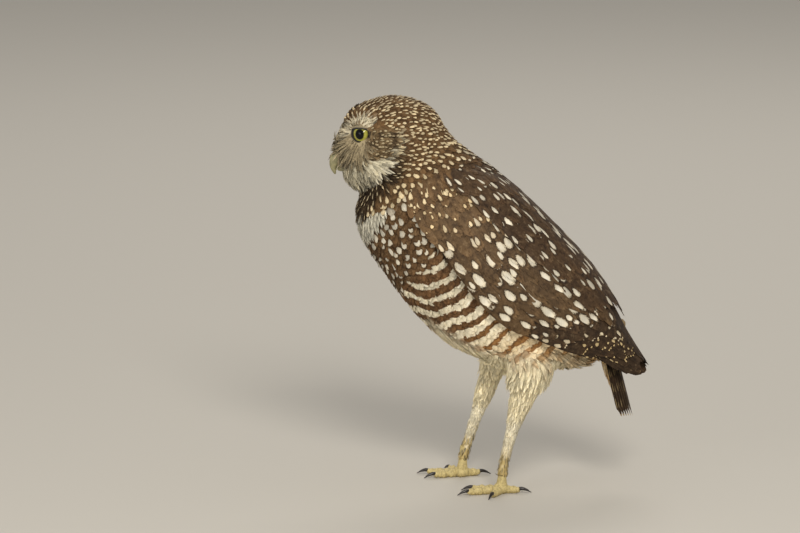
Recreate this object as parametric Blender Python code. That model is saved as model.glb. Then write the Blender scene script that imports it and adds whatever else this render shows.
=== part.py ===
"""Burrowing owl, life size, standing still and looking ahead over its left shoulder.

Metres, +Z up. The owl faces -X and its left side is towards -Y. Every outline below is given in
millimetres in the bird's own frame, whose zero is between the feet. The last step moves the whole
bird so that the origin is the bottom centre of its box.
"""
import math
import random

import bmesh
import bpy
from mathutils import Matrix, Vector

MM = 0.001
# Room between neighbours that meet, and half the side of the boxes that cut with one flat face.
GAP = 0.35 * MM
FAR = 0.6
# Step along a curve's rows, in rows, over which its direction is read.
STEP = 0.05

# Torso and neck, from the nape to the root of the tail: back point (x, z), belly point (x, z),
# half width, all in millimetres.
BODY = (
    ((-34, 226), (-76, 182), 24.0),
    ((-25, 217), (-81, 171), 28.5),
    ((-19, 210), (-81, 160), 31.5),
    ((-9, 202.5), (-76, 147), 35.5),
    ((7, 190.5), (-63, 128), 38.5),
    ((23, 172.5), (-46, 105), 40.5),
    ((40, 151), (-24, 85), 40.5),
    ((54, 129), (4, 74), 37.0),
    ((63, 109), (30, 72), 29.0),
    ((68, 94), (50, 73), 19.0),
    ((70, 83), (62, 75), 9.0),
)
# The same for the outline with the folded wings, from the neck to the wing tips.
MANTLE = (
    ((-20, 211), (-81, 162), 32.0),
    ((-10, 203.5), (-75, 147), 37.5),
    ((7, 193), (-62, 128), 43.0),
    ((25, 177), (-44, 103), 46.5),
    ((44, 157), (-20, 82), 46.5),
    ((62, 136), (8, 72), 43.0),
    ((75, 116), (35, 70), 36.0),
    ((84, 98), (52, 68), 28.0),
    ((92, 84), (72, 64), 20.0),
    ((101, 70), (92, 63), 10.0),
)
BODY_RINGS = 20
BODY_SIDES = 28

# Head: centre, half sizes forward, sideways and up, and how far the face turns to the left.
HEAD_CENTRE = (-58.0, 0.0, 207.5)
HEAD_HALF = (32.5, 31.5, 30.0)
HEAD_YAW = math.radians(10)
HEAD_SEGMENTS = 38
HEAD_RINGS = 22
# Swellings of the head: direction (forward, sideways, up), height in mm and spread in degrees.
# One with a sideways part is made on both sides.
HEAD_SWELLINGS = (
    ((0.88, 0.40, 0.08), -1.2, 12),
    ((0.80, 0.00, 0.60), 1.6, 20),
    ((-0.8, 0.00, 0.60), 1.2, 24),
    ((0.76, 0.26, 0.64), 2.0, 11),
    ((0.62, 0.52, 0.66), 2.4, 12),
    ((0.76, 0.54, 0.31), -2.2, 17),
    ((0.40, 0.84, 0.20), 1.6, 14),
    ((1.00, 0.00, 0.06), 3.0, 13),
    ((0.52, 0.78, -0.42), 2.0, 20),
    ((0.72, 0.00, -0.72), 5.5, 22),
)

# Eyes, in the head's frame: where the cornea meets the face, how far the axis points outwards and
# up, and how deep the centre of the ball lies behind that place.
EYE_ON_FACE = (24.1, 16.8, 11.0)
EYE_OUTWARD = math.radians(36)
EYE_UPWARD = 0.06
EYE_RADIUS = 8.0
EYE_DEPTH = 7.6
EYE_SEGMENTS = 18
EYE_RINGS = 10
# Lids: thickness, then half the width and half the height of their opening.
LID_THICKNESS = 0.9
LID_OPENING = (5.6, 4.6)
LID_SIDES = 24
# How far out along the axis the opening reaches from the ball's centre.
LID_REACH = (2.0, 18.0)

# Bill, in the head's frame: forward, up, half height, half width along each mandible.
UPPER_BILL = (
    (22.0, -5.2, 4.6, 5.2),
    (29.0, -4.6, 4.8, 4.9),
    (33.2, -6.2, 4.2, 4.0),
    (35.6, -9.4, 3.2, 2.8),
    (36.2, -12.8, 1.9, 1.6),
    (35.2, -16.6, 0.5, 0.5),
)
LOWER_BILL = (
    (22.0, -11.4, 3.2, 4.6),
    (29.0, -12.2, 2.8, 4.0),
    (32.0, -13.2, 2.0, 2.8),
    (33.8, -13.9, 0.8, 1.2),
)
# Nostrils: forward, sideways, up and radius.
NOSTRIL = (31.0, 3.9, -3.4, 0.8)
# Line of the mouth, a flat slit: its rear end, half its length and width, its level and half its
# thickness.
MOUTH_LINE = (20.0, 20.0, 9.6, -9.3, 0.35)
MOUTH_SIDES = 28

# Cuts that part head, neck and torso: a point on each and the direction of its plane, in x and z.
NECK_TOP = ((-52.0, 194.5), (56.0, 37.0))
NECK_FOOT = ((-46.0, 184.0), (69.0, 42.0))

# A tube's ends: over how many rows they draw in, and what share of the radius is left at the tip.
TUBE_END = 0.35
TUBE_TIP = 0.25
# Legs, from inside the body down: x, y, z and radius.
THIGHS = {
    "left": (
        (25, -17, 92, 14),
        (24, -21, 80, 15),
        (21.5, -23.5, 68, 11.5),
        (18.5, -24, 57, 7.2),
        (14, -24, 42, 4.6),
    ),
    "right": (
        (8, 16, 92, 14),
        (6, 20, 81, 13.5),
        (2, 22.5, 68, 8.8),
        (-1.5, 23, 56, 6.2),
        (-6, 23, 42, 4.2),
    ),
}
SHANKS = {
    "left": (
        (17.5, -24, 54, 6.2),
        (13, -24, 38, 4.0),
        (9.5, -24, 24, 3.3),
        (7.5, -24, 14, 3.5),
        (6.5, -24, 1.5, 4.6),
    ),
    "right": (
        (-1.5, 23, 54, 5.8),
        (-7.5, 23, 38, 3.8),
        (-12, 23, 24, 3.3),
        (-15, 23, 14, 3.5),
        (-16.5, 23, 1.5, 4.6),
    ),
}
ANKLE_CUT = 47.5
FOOT_CUT = 10.0
# Each toe: name, heading in degrees from straight ahead towards the outer side, length in mm.
TOES = (("inner", -20, 17.0), ("middle", 12, 20.5), ("outer", 62, 15.0), ("hind", 168, 11.0))
FOOT_TURN = {"left": 8.0, "right": 0.0}
TOE_RADIUS = 2.5
# Height of a toe's middle line, and how much higher it lies where the toe is full.
TOE_HEIGHT = 2.0
TOE_RISE = 0.4
# Pad under the middle of the foot: half width, half height and height of its centre.
SOLE = (4.8, 3.4, 2.4)
# Along a toe: place as a share of its length, and its swelling pads as a share of its radius.
TOE_SWELL = ((0.0, 1.3), (0.3, 0.95), (0.5, 1.1), (0.75, 0.92), (1.0, 1.05))
CLAW_LENGTH = 8.5
CLAW_RADIUS = 1.2
CLAW_ROOT = 1.2
# Along a claw: place as a share of its length, height in mm, and share of its radius.
CLAW_CURVE = ((0.0, 2.5, 1.0), (0.35, 2.9, 0.92), (0.7, 2.1, 0.6), (1.0, 0.75, 0.2))

# Folded wing: where it starts and ends along the mantle's rows, and its length in mm.
WING_START = 0.9
WING_END = 9.0
WING_LENGTH = 150.0
# Along the wing, from 0 at the shoulder to 1 at the tip: its upper and lower edge in degrees from
# the back line, and how deep its outer and inner face lie under the mantle in mm.
WING_EDGES = (
    (0.00, 66, 88, 3.4, 5.4),
    (0.06, 44, 98, 2.4, 7.0),
    (0.16, 24, 101, 2.2, 7.6),
    (0.28, -3, 102, 2.2, 7.6),
    (0.50, -6, 102, 2.2, 7.2),
    (0.66, -8, 100, 2.6, 6.6),
    (0.78, 2, 95, 2.8, 6.6),
    (0.86, 16, 90, 3.2, 6.4),
)
WING_RINGS = 8
WING_SIDES = 5
# Mean half width of a section of the mantle, by which a width in mm is turned into an angle.
WING_RADIUS = 40.0
# Share of a section over which a wing's edge is rounded, and how thick it is at the very edge.
WING_ROUND = 0.25
WING_EDGE_THICKNESS = 0.3
# Rows of feathers on a folded wing, the lowest first. Each has its count, then for its first and
# last feather the root and the tip as a place along the wing and degrees from the back line,
# then half a feather's width in mm, how high the first and the last tip lie, and how far the
# lower edge of each stands up.
WING_TIERS = (
    ("primaries", 5, (0.60, 90), (1.00, 80), (0.60, 84), (0.86, 88), 5.0, -5.6, -2.0, 0.2),
    ("secondaries", 7, (0.40, 97), (0.66, 99), (0.44, 20), (0.87, 16), 7.2, -1.6, -1.2, 1.0),
    ("greater coverts", 6, (0.20, 97), (0.44, 99), (0.24, 48), (0.56, 44), 6.4, -0.2, -0.2, 0.7),
    ("median coverts", 4, (0.11, 88), (0.28, 96), (0.14, 60), (0.36, 54), 6.6, 0.7, 0.7, 0.7),
    ("scapulars", 5, (0.22, 52), (0.44, 46), (0.32, 15), (0.62, 10), 6.2, 0.2, 0.2, 0.8),
    ("upper scapulars", 3, (0.13, 54), (0.31, 44), (0.22, 33), (0.42, 18), 7.0, 1.2, 1.2, 0.8),
)
# How far each wing reaches, how deep the roots lie, and how much roots, tips and widths vary.
WING_REACH = {"left": 0.965, "right": 1.0}
ROOT_LIFT = -3.6
ROOT_SPREAD = 0.006
TIP_SPREAD = 0.012
WIDTH_SPREAD = 0.06
# A vane: the share of its length over which its direction is read, then places along it, the
# share of its width there, and its thickness in mm.
VANE_STEP = 0.02
VANE_ROWS = ((0.0, 0.6, 0.7), (0.34, 0.95, 0.7), (0.78, 0.92, 0.65), (1.0, 0.3, 0.4))

# Tail: the line of its upper face from the coverts to the tips, as x and z. On each side the
# middle feather lies on top, and the others step outwards and down.
TAIL_TOP = (72.5, 101.0)
TAIL_TIP = (86.0, 43.5)
TAIL_FEATHERS = 6
TAIL_HALF_FEATHER = 6.0
TAIL_ROOT_SIDE = 1.0
TAIL_TIP_SIDE = 2.3
TAIL_STEP = 1.0
TAIL_ROOT_DEPTH = 1.6
TAIL_ROOF = 0.7
# How much shorter each feather is than the one inside it, and the radius of the fan's arch in mm.
TAIL_SHORTER = 0.012
TAIL_ARCH = 45.0
# The pale coverts under the tail as x, z, half thickness and half width, and the room that the
# wings leave for both.
TAIL_COVERTS = (
    (58, 104, 4.0, 7.0),
    (66, 94, 6.4, 10.0),
    (70.5, 82, 6.6, 10.5),
    (73, 70, 5.2, 10.0),
    (75.5, 59, 3.4, 7.5),
    (77.5, 48, 1.2, 3.0),
)
TAIL_ROOM = (
    (60, 112, 9.0, 10.5),
    (68, 96, 10.0, 12.5),
    (73, 80, 9.6, 13.5),
    (77, 62, 9.0, 15.0),
    (80, 44, 9.0, 19.0),
)

# Base colour and roughness of each kind of surface, and the kind that a node's first word names.
COLOURS = {
    "plumage": ((0.20, 0.13, 0.07), 0.85),
    "wing": ((0.13, 0.08, 0.045), 0.8),
    "down": ((0.72, 0.62, 0.46), 0.9),
    "scales": ((0.50, 0.42, 0.22), 0.7),
    "claw": ((0.05, 0.04, 0.035), 0.35),
    "bill": ((0.42, 0.40, 0.27), 0.4),
    "eye": ((0.70, 0.60, 0.08), 0.08),
}
SURFACES = {
    "wing": "wing",
    "tail": "wing",
    "thigh": "down",
    "shank": "down",
    "foot": "scales",
    "claw": "claw",
    "bill": "bill",
    "eye": "eye",
}


def point(x, y, z):
    """A point from millimetres."""
    return Vector((x, y, z)) * MM


def between(rows, t):
    """The row at t, read from a smooth curve through the rows, each a flat tuple of numbers."""
    last = len(rows) - 1
    t = min(max(t, 0.0), float(last))
    i = min(int(t), last - 1)
    f = t - i
    before, start, end, after = (rows[min(max(i + k, 0), last)] for k in (-1, 0, 1, 2))
    made = []
    for a, b, c, d in zip(before, start, end, after):
        made.append(b + 0.5 * f * (c - a + f * (2 * a - 5 * b + 4 * c - d + f * (3 * (b - c) + d - a))))
    return made


def flat_rows(stations):
    """Each station as one flat tuple."""
    return [(*back, *belly, half) for back, belly, half in stations]


def on_section(rows, t, angle, side=1.0):
    """A point of the section at t. The angle runs from the back line, 0, to the belly line, pi."""
    back_x, back_z, belly_x, belly_z, half = between(rows, t)
    up = Vector((back_x - belly_x, 0, back_z - belly_z)) / 2
    middle = Vector((back_x + belly_x, 0, back_z + belly_z)) / 2
    return (middle + up * math.cos(angle) + Vector((0, side * half * math.sin(angle), 0))) * MM


def between_keys(keys, s):
    """The values at s, read between rows whose first number is their place."""
    i = 0
    while i < len(keys) - 2 and s > keys[i + 1][0]:
        i += 1
    share = (s - keys[i][0]) / (keys[i + 1][0] - keys[i][0])
    return between([row[1:] for row in keys], i + share)


def solid(name, points, faces):
    """A mesh object from points and faces, with its faces turned outwards."""
    mesh = bpy.data.meshes.new(name)
    mesh.from_pydata([tuple(p) for p in points], [], faces)
    shell = bmesh.new()
    shell.from_mesh(mesh)
    bmesh.ops.recalc_face_normals(shell, faces=shell.faces)
    shell.to_mesh(mesh)
    shell.free()
    made = bpy.data.objects.new(name, mesh)
    bpy.context.scene.collection.objects.link(made)
    return made


def loft(name, rings):
    """A closed form through rings of the same number of points."""
    sides = len(rings[0])
    points = [p for ring in rings for p in ring]
    faces = [
        (r * sides + k, r * sides + (k + 1) % sides, (r + 1) * sides + (k + 1) % sides, (r + 1) * sides + k)
        for r in range(len(rings) - 1)
        for k in range(sides)
    ]
    faces.append(tuple(range(sides)))
    faces.append(tuple((len(rings) - 1) * sides + k for k in range(sides)))
    return solid(name, points, faces)


def turns(sides):
    """The angles of that many places round a circle."""
    return [2 * math.pi * k / sides for k in range(sides)]


def tube(name, rows, rings, sides):
    """A round form along a path of x, y, z and radius, with its ends drawn in."""
    last = len(rows) - 1
    made = []
    for r in range(rings + 1):
        t = last * r / rings
        x, y, z, radius = between(rows, t)
        ahead = Vector(between(rows, t + STEP)[:3]) - Vector(between(rows, t - STEP)[:3])
        ahead.normalize()
        across = ahead.cross(Vector((0, 1, 0))).normalized()
        other = ahead.cross(across)
        near_end = min(t, last - t) / TUBE_END
        if near_end < 1:
            round_end = math.sqrt(1 - (1 - near_end) ** 2)
            radius *= TUBE_TIP + (1 - TUBE_TIP) * round_end
        made.append([
            point(x, y, z) + (across * math.cos(a) + other * math.sin(a)) * radius * MM
            for a in turns(sides)
        ])
    return loft(name, made)


def plate(name, top, under, across):
    """A closed plate from two like grids of points, both split into triangles the same way."""
    rows = len(top) // across
    size = len(top)
    faces = []
    for r in range(rows - 1):
        for k in range(across - 1):
            a = r * across + k
            b, c, d = a + 1, a + across + 1, a + across
            faces += [(a, b, c), (a, c, d), (size + a, size + c, size + b), (size + a, size + d, size + c)]
    rim = list(range(across))
    rim += [r * across + across - 1 for r in range(1, rows)]
    rim += [(rows - 1) * across + k for k in range(across - 2, -1, -1)]
    rim += [r * across for r in range(rows - 2, 0, -1)]
    for a, b in zip(rim, rim[1:] + rim[:1]):
        faces += [(a, size + a, b), (b, size + a, size + b)]
    return solid(name, top + under, faces)


def replace_mesh(made, mesh):
    """Gives the object a new mesh and drops its modifiers."""
    old = made.data
    made.modifiers.clear()
    made.data = mesh
    bpy.data.meshes.remove(old)


def evaluated(made):
    """The object's mesh as its modifiers leave it."""
    bpy.context.view_layer.update()
    graph = bpy.context.evaluated_depsgraph_get()
    return bpy.data.meshes.new_from_object(made.evaluated_get(graph), depsgraph=graph)


def boolean(made, other, operation):
    """Applies a Boolean with the other object, which is then removed."""
    step = made.modifiers.new(operation, "BOOLEAN")
    step.operation = operation
    step.object = other
    replace_mesh(made, evaluated(made))
    bpy.data.objects.remove(other)


def copied(made, name):
    """A copy of the object with its own mesh."""
    other = made.copy()
    other.data = made.data.copy()
    other.name = name
    bpy.context.scene.collection.objects.link(other)
    return other


def expanded(made, by):
    """A copy of the object whose surface stands off by that much."""
    grown = copied(made, "grown")
    push = grown.modifiers.new("stand off", "DISPLACE")
    push.mid_level = 0.0
    push.strength = by
    replace_mesh(grown, evaluated(grown))
    return grown


def largest_surface(made):
    """Keeps only the object's largest closed surface."""
    shell = bmesh.new()
    shell.from_mesh(made.data)
    left = set(shell.faces)
    pieces = []
    while left:
        todo = [left.pop()]
        piece = []
        while todo:
            face = todo.pop()
            piece.append(face)
            for edge in face.edges:
                for other in edge.link_faces:
                    if other in left:
                        left.remove(other)
                        todo.append(other)
        pieces.append(piece)
    pieces.sort(key=lambda piece: sum(face.calc_area() for face in piece))
    loose = [face for piece in pieces[:-1] for face in piece]
    bmesh.ops.delete(shell, geom=loose, context="FACES")
    shell.to_mesh(made.data)
    shell.free()


def box(name, centre, half, turn=0.0):
    """A box about a centre in metres, turned about Y."""
    bpy.ops.mesh.primitive_cube_add(size=2.0)
    made = bpy.context.object
    made.name = name
    made.data.transform(
        Matrix.Translation(centre) @ Matrix.Rotation(turn, 4, "Y") @ Matrix.Diagonal((*half, 1.0))
    )
    return made


def beyond(cut, sign, gap):
    """A large box on one side of a cut plane that contains Y: above it for +1 and below it for -1."""
    (x, z), (run, rise) = cut
    slope = math.atan2(rise, run)
    normal = Vector((-math.sin(slope), 0, math.cos(slope)))
    centre = point(x, 0, z) + normal * sign * (FAR + gap / 2)
    return box("half space", centre, (FAR, FAR, FAR), -slope)


def disc(sides):
    """A cylinder of radius 1 and of height 2."""
    bpy.ops.mesh.primitive_cylinder_add(vertices=sides, radius=1.0, depth=2.0)
    return bpy.context.object


def head_matrix():
    """The head's frame, forward, left and up, in the bird's frame."""
    axes = Matrix(((-1, 0, 0, 0), (0, -1, 0, 0), (0, 0, 1, 0), (0, 0, 0, 1)))
    return Matrix.Translation(point(*HEAD_CENTRE)) @ Matrix.Rotation(HEAD_YAW, 4, "Z") @ axes


def head_radius(direction):
    """How far the head reaches in a direction of its own frame, in millimetres."""
    reach = 1 / math.sqrt(sum((d / half) ** 2 for d, half in zip(direction, HEAD_HALF)))
    for (ahead, side, up), height, spread in HEAD_SWELLINGS:
        for sign in (1, -1) if side else (1,):
            away = direction.angle(Vector((ahead, sign * side, up)))
            reach += height * math.exp(-((away / math.radians(spread)) ** 2))
    return reach


def head_form():
    """The bare form of the head, with brow, eye hollows, cheeks and chin."""
    bpy.ops.mesh.primitive_uv_sphere_add(segments=HEAD_SEGMENTS, ring_count=HEAD_RINGS, radius=1.0)
    made = bpy.context.object
    made.name = "head"
    for vertex in made.data.vertices:
        direction = vertex.co.normalized()
        vertex.co = direction * head_radius(direction) * MM
    made.data.transform(head_matrix())
    return made


def sphere(name, centre, radius, segments=EYE_SEGMENTS, rings=EYE_RINGS):
    """A sphere in metres."""
    bpy.ops.mesh.primitive_uv_sphere_add(segments=segments, ring_count=rings, radius=radius, location=centre)
    made = bpy.context.object
    made.name = name
    made.data.transform(made.matrix_world)
    made.matrix_world = Matrix.Identity(4)
    return made


def eye_frame(side):
    """The centre of an eyeball and its outward axis, in the bird's frame. The left side is +1."""
    ahead, across, up = EYE_ON_FACE
    axis = Vector((math.cos(EYE_OUTWARD), side * math.sin(EYE_OUTWARD), EYE_UPWARD)).normalized()
    centre = point(ahead, side * across, up) - axis * EYE_DEPTH * MM
    frame = head_matrix()
    return frame @ centre, (frame.to_3x3() @ axis).normalized()


def add_lids(head, side):
    """Fuses a lid shell to the head, then opens it and hollows the socket behind it."""
    centre, axis = eye_frame(side)
    boolean(head, sphere("lid", centre, (EYE_RADIUS + LID_THICKNESS) * MM + GAP), "UNION")
    turn = axis.to_track_quat("Z", "Y").to_matrix().to_4x4()
    near, far = LID_REACH
    opening = disc(LID_SIDES)
    opening.data.transform(
        Matrix.Translation(centre + axis * (near + far) / 2 * MM) @ turn
        @ Matrix.Diagonal((*point(*LID_OPENING, (far - near) / 2), 1))
    )
    boolean(head, opening, "DIFFERENCE")
    boolean(head, sphere("socket", centre, EYE_RADIUS * MM + GAP), "DIFFERENCE")


def mandible(name, stations, rings, sides):
    """One mandible, a tapering form along its own curve in the head's middle plane."""
    made = []
    last = len(stations) - 1
    for r in range(rings + 1):
        t = last * r / rings
        ahead, up, tall, wide = between(stations, t)
        run = Vector(between(stations, t + STEP)[:2]) - Vector(between(stations, t - STEP)[:2])
        run.normalize()
        made.append([
            point(
                ahead - run.y * tall * math.cos(a),
                wide * math.sin(a),
                up + run.x * tall * math.cos(a),
            )
            for a in turns(sides)
        ])
    bill = loft(name, made)
    bill.data.transform(head_matrix())
    return bill


def make_bill(head):
    """Both mandibles, set into the head, with nostrils and the line of the mouth."""
    upper = mandible("bill_upper", UPPER_BILL, 9, 10)
    lower = mandible("bill_lower", LOWER_BILL, 5, 8)
    boolean(lower, expanded(upper, GAP), "DIFFERENCE")
    largest_surface(lower)
    back, half_length, half_width, level, thin = MOUTH_LINE
    slit = disc(MOUTH_SIDES)
    slit.data.transform(
        head_matrix() @ Matrix.Translation(point(back + half_length, 0, level))
        @ Matrix.Diagonal((*point(half_length, half_width, thin), 1))
    )
    boolean(head, slit, "DIFFERENCE")
    for piece in (upper, lower):
        boolean(head, expanded(piece, GAP), "DIFFERENCE")
    ahead, across, up, radius = NOSTRIL
    for side in (1, -1):
        place = head_matrix() @ point(ahead, side * across, up)
        boolean(upper, sphere("nostril", place, radius * MM, 8, 5), "DIFFERENCE")


def make_trunk():
    """Head, neck and torso: one whole form parted by two thin cuts."""
    rows = flat_rows(BODY)
    last = len(rows) - 1
    rings = []
    for r in range(BODY_RINGS + 1):
        t = last * r / BODY_RINGS
        rings.append([on_section(rows, t, angle) for angle in turns(BODY_SIDES)])
    torso = loft("torso", rings)
    shaped = head_form()
    for side in (1, -1):
        add_lids(shaped, side)
    make_bill(shaped)
    boolean(torso, shaped, "UNION")
    head = copied(torso, "head")
    neck = copied(torso, "neck")
    boolean(head, beyond(NECK_TOP, 1, GAP), "INTERSECT")
    boolean(neck, beyond(NECK_TOP, -1, GAP), "INTERSECT")
    boolean(neck, beyond(NECK_FOOT, 1, GAP), "INTERSECT")
    boolean(torso, beyond(NECK_FOOT, -1, GAP), "INTERSECT")
    for made in (head, neck, torso):
        largest_surface(made)
    return torso


def on_mantle(s, degrees, lift, side):
    """A point over the folded wing and the direction that stands on the wing there."""
    t = WING_START + (WING_END - WING_START) * s
    angle = math.radians(degrees)
    rows = flat_rows(MANTLE)
    here = on_section(rows, t, angle, side)
    along = on_section(rows, t + STEP, angle, side) - on_section(rows, t - STEP, angle, side)
    round_it = on_section(rows, t, angle + STEP, side) - on_section(rows, t, angle - STEP, side)
    out = along.cross(round_it).normalized() * side
    return here + out * lift * MM, out


def wing_pad(side, grow=0.0):
    """The body of a folded wing, lying on the torso. It may be grown on all sides by some mm."""
    top, under = [], []
    end = WING_EDGES[-1][0]
    places = [end * r / WING_RINGS for r in range(WING_RINGS + 1)]
    if grow:
        step = grow / WING_LENGTH
        places = [-step, *places, end + step]
    for s in places:
        high, low, outer, inner = between_keys(WING_EDGES, s)
        edge = math.degrees(grow / WING_RADIUS)
        for k in range(WING_SIDES + 1):
            share = k / WING_SIDES
            degrees = high - edge + (low - high + 2 * edge) * share
            ends = min(share, 1 - share, WING_ROUND) / WING_ROUND
            bulge = math.sqrt(1 - (1 - ends) ** 2)
            middle = (outer + inner) / 2
            half = (inner - outer) / 2 * (WING_EDGE_THICKNESS + (1 - WING_EDGE_THICKNESS) * bulge) + grow
            top.append(on_mantle(s, degrees, half - middle, side)[0])
            under.append(on_mantle(s, degrees, -half - middle, side)[0])
    return plate("wing", top, under, WING_SIDES + 1)


def oval_path(name, rows, rings, sides, squareness=1.0):
    """A form along a path of x, z, half thickness and half width in the middle plane."""
    last = len(rows) - 1
    made = []
    for r in range(rings + 1):
        t = last * r / rings
        x, z, thick, wide = between(rows, t)
        run = Vector(between(rows, t + STEP)[:2]) - Vector(between(rows, t - STEP)[:2])
        run.normalize()
        ring = []
        for a in turns(sides):
            up = math.copysign(abs(math.cos(a)) ** squareness, math.cos(a)) * thick
            out = math.copysign(abs(math.sin(a)) ** squareness, math.sin(a)) * wide
            ring.append(point(x - run.y * up, out, z + run.x * up))
        made.append(ring)
    return loft(name, made)


def fuse(made, pieces):
    """Joins closed pieces to the object by one Boolean union and keeps its largest surface."""
    group = bpy.data.collections.new("pieces")
    bpy.context.scene.collection.children.link(group)
    for piece in pieces:
        group.objects.link(piece)
        bpy.context.scene.collection.objects.unlink(piece)
    step = made.modifiers.new("fuse", "BOOLEAN")
    step.operation = "UNION"
    step.operand_type = "COLLECTION"
    step.collection = group
    replace_mesh(made, evaluated(made))
    for piece in pieces:
        bpy.data.objects.remove(piece)
    bpy.data.collections.remove(group)
    largest_surface(made)


def vane(rows):
    """A feather's vane, a thin closed plate. A row is its middle, the direction across, the
    direction that stands on it, half its width, its thickness, how far its edges drop and how
    far one edge stands higher than the other."""
    top, under = [], []
    for middle, across, out, half, thick, drop, tilt in rows:
        for k in (-1, 0, 1):
            place = middle + (across * half * k + out * (tilt * k - drop * abs(k))) * MM
            top.append(place + out * thick / 2 * MM)
            under.append(place - out * thick / 2 * MM)
    return plate("vane", top, under, 3)


def mixed(low, high, share):
    """Between two tuples of numbers."""
    return [a + (b - a) * share for a, b in zip(low, high)]


def wing_vane(side, root, tip, half, lift, tilt):
    """One feather of a wing, rooted in its pad and lying over it out to its tip."""
    rows = []
    for share, width, thick in VANE_ROWS:
        s, degrees = mixed(root, tip, share)
        height = min(ROOT_LIFT, lift) if share == 0 else lift
        here, out = on_mantle(s, degrees, height, side)
        ahead_s, ahead_degrees = mixed(root, tip, share + VANE_STEP)
        ahead = on_mantle(ahead_s, ahead_degrees, height, side)[0]
        across = out.cross(ahead - here).normalized() * side
        reach = half * width
        radius = between(flat_rows(MANTLE), WING_START + (WING_END - WING_START) * s)[4]
        rows.append((here, across, out, reach, thick, reach * reach / (2 * radius), tilt * width))
    return vane(rows)


def wing_feathers(name, side):
    """All the feathers of one wing, tier by tier. Their lengths and places differ a little."""
    draw = random.Random(name)
    made = []
    for _, count, low_root, low_tip, high_root, high_tip, half, low_lift, high_lift, tilt in WING_TIERS:
        for k in range(count):
            share = k / (count - 1)
            root = mixed(low_root, high_root, share)
            tip = mixed(low_tip, high_tip, share)
            lift = low_lift + (high_lift - low_lift) * share
            root[0] += draw.uniform(-ROOT_SPREAD, ROOT_SPREAD)
            tip[0] = min(tip[0] + draw.uniform(-TIP_SPREAD, TIP_SPREAD), WING_REACH[name])
            wide = half * draw.uniform(1 - WIDTH_SPREAD, 1 + WIDTH_SPREAD)
            made.append(wing_vane(side, root, tip, wide, lift, tilt))
    return made


def make_wing(name, side):
    """A folded wing that lies on the torso and leaves room for the tail."""
    wing = wing_pad(side)
    wing.name = f"wing_{name}"
    fuse(wing, wing_feathers(name, side))
    half_space = box("half space", Vector((0, side * (FAR + GAP / 2), 0)), (FAR, FAR, FAR))
    boolean(wing, half_space, "INTERSECT")
    boolean(wing, oval_path("tail room", TAIL_ROOM, 8, 16, 0.7), "DIFFERENCE")
    largest_surface(wing)


def tail_vane(k, side):
    """The tail feather k on one side, counted from the middle one, which lies on top."""
    start = Vector(TAIL_TOP)
    line = Vector(TAIL_TIP) - start
    down = line.normalized()
    out = Vector((-down.y, 0, down.x))
    rows = []
    for share, width, thick in VANE_ROWS:
        x, z = start + line * share * (1 - TAIL_SHORTER * k)
        depth = TAIL_STEP * k + (TAIL_ROOT_DEPTH if share == 0 else 0)
        aside = k * (TAIL_ROOT_SIDE + (TAIL_TIP_SIDE - TAIL_ROOT_SIDE) * share)
        half = TAIL_HALF_FEATHER * width
        outer = aside + half
        inner = max(aside - half, 0.5 * GAP / MM) if k else -half
        y = (inner + outer) / 2
        middle = point(x, side * y, z) - out * (depth + y * y / (2 * TAIL_ARCH)) * MM
        drop = TAIL_ROOF * (outer - inner) / 2 / TAIL_HALF_FEATHER
        rows.append((middle, Vector((0, side, 0)), out, (outer - inner) / 2, thick, drop, 0.0))
    return vane(rows)


def make_tail(torso):
    """The tail feathers, rooted in the pale coverts under them, which meet the torso's end."""
    tail = oval_path("tail", TAIL_COVERTS, 6, 10)
    sides = [tail_vane(k, side) for side in (1, -1) for k in range(1, TAIL_FEATHERS)]
    fuse(tail, [tail_vane(0, 1), *sides])
    boolean(tail, expanded(torso, GAP), "DIFFERENCE")
    largest_surface(tail)


def make_leg(side, torso):
    """Thigh, shank and foot of one leg, parted by level cuts, and its four claws."""
    thigh = tube(f"thigh_{side}", THIGHS[side], 10, 14)
    boolean(thigh, expanded(torso, GAP), "DIFFERENCE")
    largest_surface(thigh)
    shank = tube(f"shank_{side}", SHANKS[side], 9, 10)
    foot = copied(shank, f"foot_{side}")
    ankle = ((0, ANKLE_CUT), (1, 0))
    instep = ((0, FOOT_CUT), (1, 0))
    boolean(thigh, beyond(ankle, 1, GAP), "INTERSECT")
    boolean(shank, beyond(ankle, -1, GAP), "INTERSECT")
    boolean(shank, beyond(instep, 1, GAP), "INTERSECT")
    boolean(foot, beyond(instep, -1, GAP), "INTERSECT")
    claws = []
    x, y = SHANKS[side][-1][:2]
    wide, tall, level = SOLE
    sole = sphere("sole", (0, 0, 0), 1.0, 10, 6)
    sole.data.transform(
        Matrix.Translation(point(x, y, level)) @ Matrix.Diagonal((*point(wide, wide, tall), 1))
    )
    boolean(foot, sole, "UNION")
    outward = 1 if side == "right" else -1
    for toe, heading, length in TOES:
        turn = math.radians(180 - outward * (heading + FOOT_TURN[side]))
        ahead = Vector((math.cos(turn), math.sin(turn), 0))
        boolean(foot, toe_form(Vector((x, y, 0)), ahead, length), "UNION")
        claws.append(claw_form(f"claw_{side}_{toe}", Vector((x, y, 0)), ahead, length))
    boolean(foot, beyond(((0, 0), (1, 0)), 1, 0), "INTERSECT")
    largest_surface(foot)
    for claw in claws:
        boolean(claw, expanded(foot, GAP), "DIFFERENCE")
        largest_surface(claw)


def toe_form(start, ahead, length):
    """A toe with its pads, from the middle of the foot outwards."""
    rows = []
    for share, swell in TOE_SWELL:
        place = start + ahead * length * share
        rows.append((place.x, place.y, TOE_HEIGHT + TOE_RISE * swell, TOE_RADIUS * swell))
    return tube("toe", rows, 6, 6)


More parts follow.
